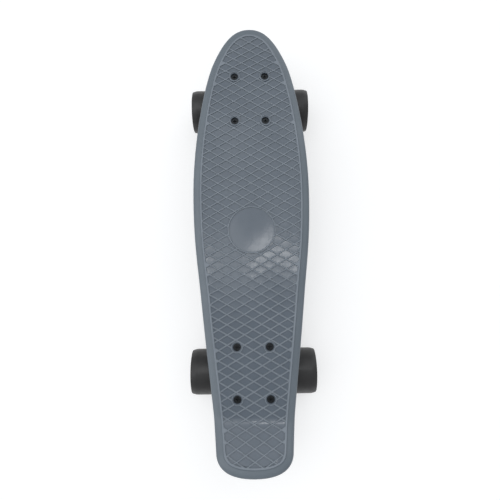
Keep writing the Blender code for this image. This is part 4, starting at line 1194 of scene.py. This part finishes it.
# %% Hanger
HALF_HOUSING_MM = (
    (0, 45.8), (7.7, 45.8), (7.7, 41.5), (7.3, 39.5), (6.7, 37.0), (6.7, 34.0), (8.1, 16.5),
)
HANGER_RING_MM = ((0, 4.8), (13.9, 4.8), (14.5, 4.1), (14.6, 0), (14.5, -4.1), (13.9, -4.8), (0, -4.8))
ARM_MM = (
    (0, 5.4), (2.07, 4.99), (3.82, 3.82), (4.99, 2.07), (5.4, 0), (5.1, -2.5), (4.9, -4.5), (5.6, -10.0),
    (6.7, -17.0), (9.2, -33.3), (0, -33.3),
)
RING_FACE = 4.5  # the machined faces' distance from the middle of the ring
HANGER_END = 45.5  # and of the hanger's ends from the middle of the axle


def spot_face(name, radius, near, far, place, steps=64):
    """A turned cutter that leaves a flat round face at near."""
    top, bottom = max(near, far), min(near, far)
    return turn(name, ((0, top), (radius, top), (radius, bottom), (0, bottom)), place, steps)


ring_edge = RING_CENTRE + Matrix.Rotation(-KINGPIN_LEAN, 3, "X") @ Vector((0, 12.5, 0))
hanger = cast([
    turn("housing", mirrored(HALF_HOUSING_MM)[:-1], ON_AXLE, 64),
    turn("ring", HANGER_RING_MM, ON_KINGPIN, 96),
    bar("web", ring_edge, (12.6, 3.9), AXLE, (20.5, 5.6), TRUCK),
    turn("arm", ARM_MM, ON_PIVOT, 48),
], "front_hanger_casting")
machine(hanger, [
    spot_face("ring_bore", 8.6, 8.0, -8.0, ON_KINGPIN),
    spot_face("upper_seat", 12.6, RING_FACE, 9.0, ON_KINGPIN),
    spot_face("lower_seat", 12.6, -RING_FACE, -9.0, ON_KINGPIN),
    spot_face("axle_bore", 4.1, 55.0, -55.0, ON_AXLE),
    spot_face("right_end", 12.0, HANGER_END, 60.0, ON_AXLE),
    spot_face("left_end", 12.0, -HANGER_END, -60.0, ON_AXLE),
])
to_both_trucks(hanger, "cast_metal", "hanger")

# %% [markdown]
# ### Baseplate
# The baseplate is bolted under the deck. It is a plate with round corners, a boss that holds the
# kingpin's head, another with the socket for the pivot cup, and ribs between them. Its top, its bolt
# holes and the seats in both bosses are machined.

# %% Baseplate
PLATE_SIZE_MM = (55.9, 81.9)
PLATE_CORNER = 8.0 * MM
PLATE_FOOT, PLATE_TOP = -6.3, 2.0  # the top is cut flat afterwards, where the deck's pad touches it
KINGPIN_BOSS_MM = ((0, 31.0), (17.5, 31.0), (15.6, 24.0), (14.2, 18.5), (0, 18.5))
PIVOT_BOSS_MM = ((0, 22.8), (12.2, 22.8), (11.5, 12.0), (11.4, 0), (0, 0))

bpy.ops.object.select_all(action="DESELECT")
bpy.ops.mesh.primitive_cube_add(size=1)
plate = bpy.context.object
plate_size = Vector((*PLATE_SIZE_MM, PLATE_TOP - PLATE_FOOT)) * MM
plate_middle = Matrix.Translation((0, 0, (PLATE_TOP + PLATE_FOOT) / 2 * MM))
plate.matrix_world = TRUCK @ plate_middle @ Matrix.Diagonal((*plate_size, 1))
settle(plate)
edit(plate)
pick_edges(lambda edge: abs(edge.verts[0].co.z - edge.verts[1].co.z) > 1 * MM)
bpy.ops.mesh.bevel(offset=PLATE_CORNER, segments=8, affect="EDGES")
done()
baseplate = cast([
    plate,
    turn("kingpin_boss", KINGPIN_BOSS_MM, ON_KINGPIN, 64),
    turn("pivot_boss", PIVOT_BOSS_MM, ON_PIVOT, 64),
    bar("long_rib", (0, -2.0, -9.0), (2.2, 3.0), (0, 20.0, -9.0), (2.2, 3.6), TRUCK),
    bar("front_rib", (0, 30.0, -5.0), (2.0, 4.0), (0, 40.0, -5.0), (1.6, 2.2), TRUCK),
    bar("rear_rib", (0, -22.0, -5.0), (2.0, 4.0), (0, -40.0, -5.0), (1.6, 2.2), TRUCK),
], "front_baseplate_casting", soften=8)
BOLT_PATTERN = [(x * BOLT_SPACING_WIDE / 2, y * BOLT_SPACING_LONG / 2) for x in (-1, 1) for y in (-1, 1)]
bolt_holes = [spot_face("bolt_hole", 2.7, 9.0, -20.0, TRUCK @ Matrix.Translation((x, y, 0)), 32)
              for x, y in BOLT_PATTERN]
machine(baseplate, [
    spot_face("deck_side", 90.0, -0.3, 40.0, TRUCK),
    *bolt_holes,
    spot_face("kingpin_hole", 5.1, 60.0, 0.0, ON_KINGPIN),
    spot_face("washer_seat", 12.9, 18.9, 10.0, ON_KINGPIN),
    spot_face("pivot_socket", 8.5, 8.7, -20.0, ON_PIVOT),
])
to_both_trucks(baseplate, "cast_metal", "baseplate")

# %% [markdown]
# ### Pieces that stay as they are
# The pivot cups and the bearing spacers are plain turned pieces that hardly show, so their CAD nodes
# stay, and only get a real finish.

# %% Finishes of the kept pieces
for name, finish in (("pivot_cup", BUSHING_URETHANE), ("bearing_spacer", BRIGHT_ZINC)):
    for node, obj in frame["nodes"].items():
        if node.endswith(name):
            obj.material_slots[0].material = finish
            print(node, "is finished in", finish.name)

# %% [markdown]
# ## Floor and light
# The photo has a plain white ground with a faint soft shadow to the right of the board, so the main
# light is a large softbox high on the left. The floor is white to the camera and to reflections, and
# still takes the shadow. Its back is clear, so that a view from below sees the board.

# %% Floor
FLOOR_SIZE = 12.0
FLOOR_LEVEL = -0.2 * MM  # just below the wheels, so that the two never flicker
FLOOR_BLOTCH = 0.4
FLOOR_GREYS = (0.54, 0.56)
FLOOR_GLOW = 0.55


def white_floor_finish():
    """Matt pale paper, which glows only for rays that come from the camera or by a reflection."""
    finish, tree, shader, where = new_finish("white_paper_floor")
    mottle = add_node(tree, "ShaderNodeTexNoise", {
        "Vector": where, "Scale": 1 / FLOOR_BLOTCH, "Detail": 2.0,
    })
    grey = add_node(tree, "ShaderNodeMapRange", {
        "Value": mottle.outputs["Fac"], "To Min": FLOOR_GREYS[0], "To Max": FLOOR_GREYS[1],
    }).outputs["Result"]
    shade = add_node(tree, "ShaderNodeCombineColor", {"Red": grey, "Green": grey, "Blue": grey})
    tree.links.new(shade.outputs["Color"], shader.inputs["Base Color"])
    shader.inputs["Roughness"].default_value = 0.9
    shader.inputs["Specular IOR Level"].default_value = 0.0

    rays = add_node(tree, "ShaderNodeLightPath").outputs
    seen = rays["Is Camera Ray"]
    for kind in ("Is Glossy Ray", "Is Transmission Ray"):
        both = add_node(tree, "ShaderNodeMath", {0: seen, 1: rays[kind]}, operation="ADD")
        seen = both.outputs["Value"]
    glow = add_node(tree, "ShaderNodeMath", {0: seen, 1: FLOOR_GLOW}, operation="MULTIPLY")
    shader.inputs["Emission Color"].default_value = (1, 1, 1, 1)
    tree.links.new(glow.outputs["Value"], shader.inputs["Emission Strength"])

    clear = add_node(tree, "ShaderNodeBsdfTransparent").outputs["BSDF"]
    under = add_node(tree, "ShaderNodeNewGeometry").outputs["Backfacing"]
    paper = add_node(tree, "ShaderNodeMixShader", {0: under, 1: shader.outputs["BSDF"], 2: clear})
    tree.links.new(paper.outputs["Shader"], tree.nodes["Material Output"].inputs["Surface"])
    return finish


bpy.ops.object.select_all(action="DESELECT")
bpy.ops.mesh.primitive_plane_add(size=FLOOR_SIZE, location=(0, 0, FLOOR_LEVEL))
floor = bpy.context.object
floor.name = "floor"
floor.data.materials.append(white_floor_finish())
print("floor:", FLOOR_SIZE, "m wide")

# %% [markdown]
# The polished pockets and the disc mirror what stands over the board, so the room matters as much as
# the lamps. In the photo an oblique line crosses the deck below the disc, where the pockets turn from
# pale to dark. So the sky here is dim behind an oblique line and bright ahead of it, and it fades
# again low down ahead, which the kick faces. The camera itself sees an even, nearly white sky.

# %% Room
WORLD_TURN = math.radians(32)  # how far the line is turned from straight across the board
SKY_LINE = (0.01, 0.03)  # how far ahead the bright part starts: 0 is overhead, 1 the horizon
SKY_FADE = (0.30, 0.70)  # and where it fades again
DIM_SKY, BRIGHT_SKY, LOW_SKY = 0.58, 1.48, 0.60

world = bpy.data.worlds.new("white_room")
world.use_nodes = True
tree = world.node_tree
room = tree.nodes["Background"]
room.inputs["Color"].default_value = linear("#f4f7fa")
way = add_node(tree, "ShaderNodeTexCoord").outputs["Generated"]
turned = add_node(tree, "ShaderNodeVectorRotate", {"Vector": way, "Angle": -WORLD_TURN})
forward = add_node(tree, "ShaderNodeSeparateXYZ", {"Vector": turned.outputs["Vector"]}).outputs["Y"]
overhead = add_node(tree, "ShaderNodeMapRange", {
    "Value": forward, "From Min": SKY_LINE[0], "From Max": SKY_LINE[1],
    "To Min": DIM_SKY, "To Max": BRIGHT_SKY,
}).outputs["Result"]
level = add_node(tree, "ShaderNodeMapRange", {
    "Value": forward, "From Min": SKY_FADE[0], "From Max": SKY_FADE[1],
    "To Min": overhead, "To Max": LOW_SKY,
}).outputs["Result"]
seen = add_node(tree, "ShaderNodeLightPath").outputs["Is Camera Ray"]
strength = add_node(tree, "ShaderNodeMapRange", {"Value": seen, "To Min": level, "To Max": 1.0})
tree.links.new(strength.outputs["Result"], room.inputs["Strength"])
bpy.context.scene.world = world
print("sky levels:", DIM_SKY, BRIGHT_SKY, LOW_SKY)

# %% [markdown]
# Three lamps stand over the board. The key is the large softbox on the left that throws the shadow.
# The window strip is small and slanted, and stands where the disc and the pockets behind it on the
# right mirror it to the camera as a bright slanting band. The left card is larger and dimmer, and
# lifts what the pockets left of the disc mirror.

# %% Lamps
def softbox(name, place, aim, size, power, roll_deg=0):
    bpy.ops.object.light_add(type="AREA", location=place)
    lamp = bpy.context.object
    lamp.name = name
    lamp.data.shape = "RECTANGLE"
    lamp.data.size, lamp.data.size_y = size
    lamp.data.energy = power
    aimed = (Vector(aim) - Vector(place)).to_track_quat("-Z", "Y").to_matrix()
    lamp.rotation_euler = (aimed @ Matrix.Rotation(math.radians(roll_deg), 3, "Z")).to_euler()
    print(name, "gives", power, "W from", size, "m")


softbox("key_softbox", (-1.3, 0.5, 1.9), (0, 0, 0.05), (2.4, 2.4), 8.0)
softbox("window_strip", (0.105, 0.183, 1.5), (0.105, 0.183, 0.0), (0.30, 0.075), 0.40, roll_deg=40)
softbox("left_card", (-0.316, 0.242, 1.5), (-0.316, 0.242, 0.0), (0.43, 0.65), 0.60, roll_deg=33)
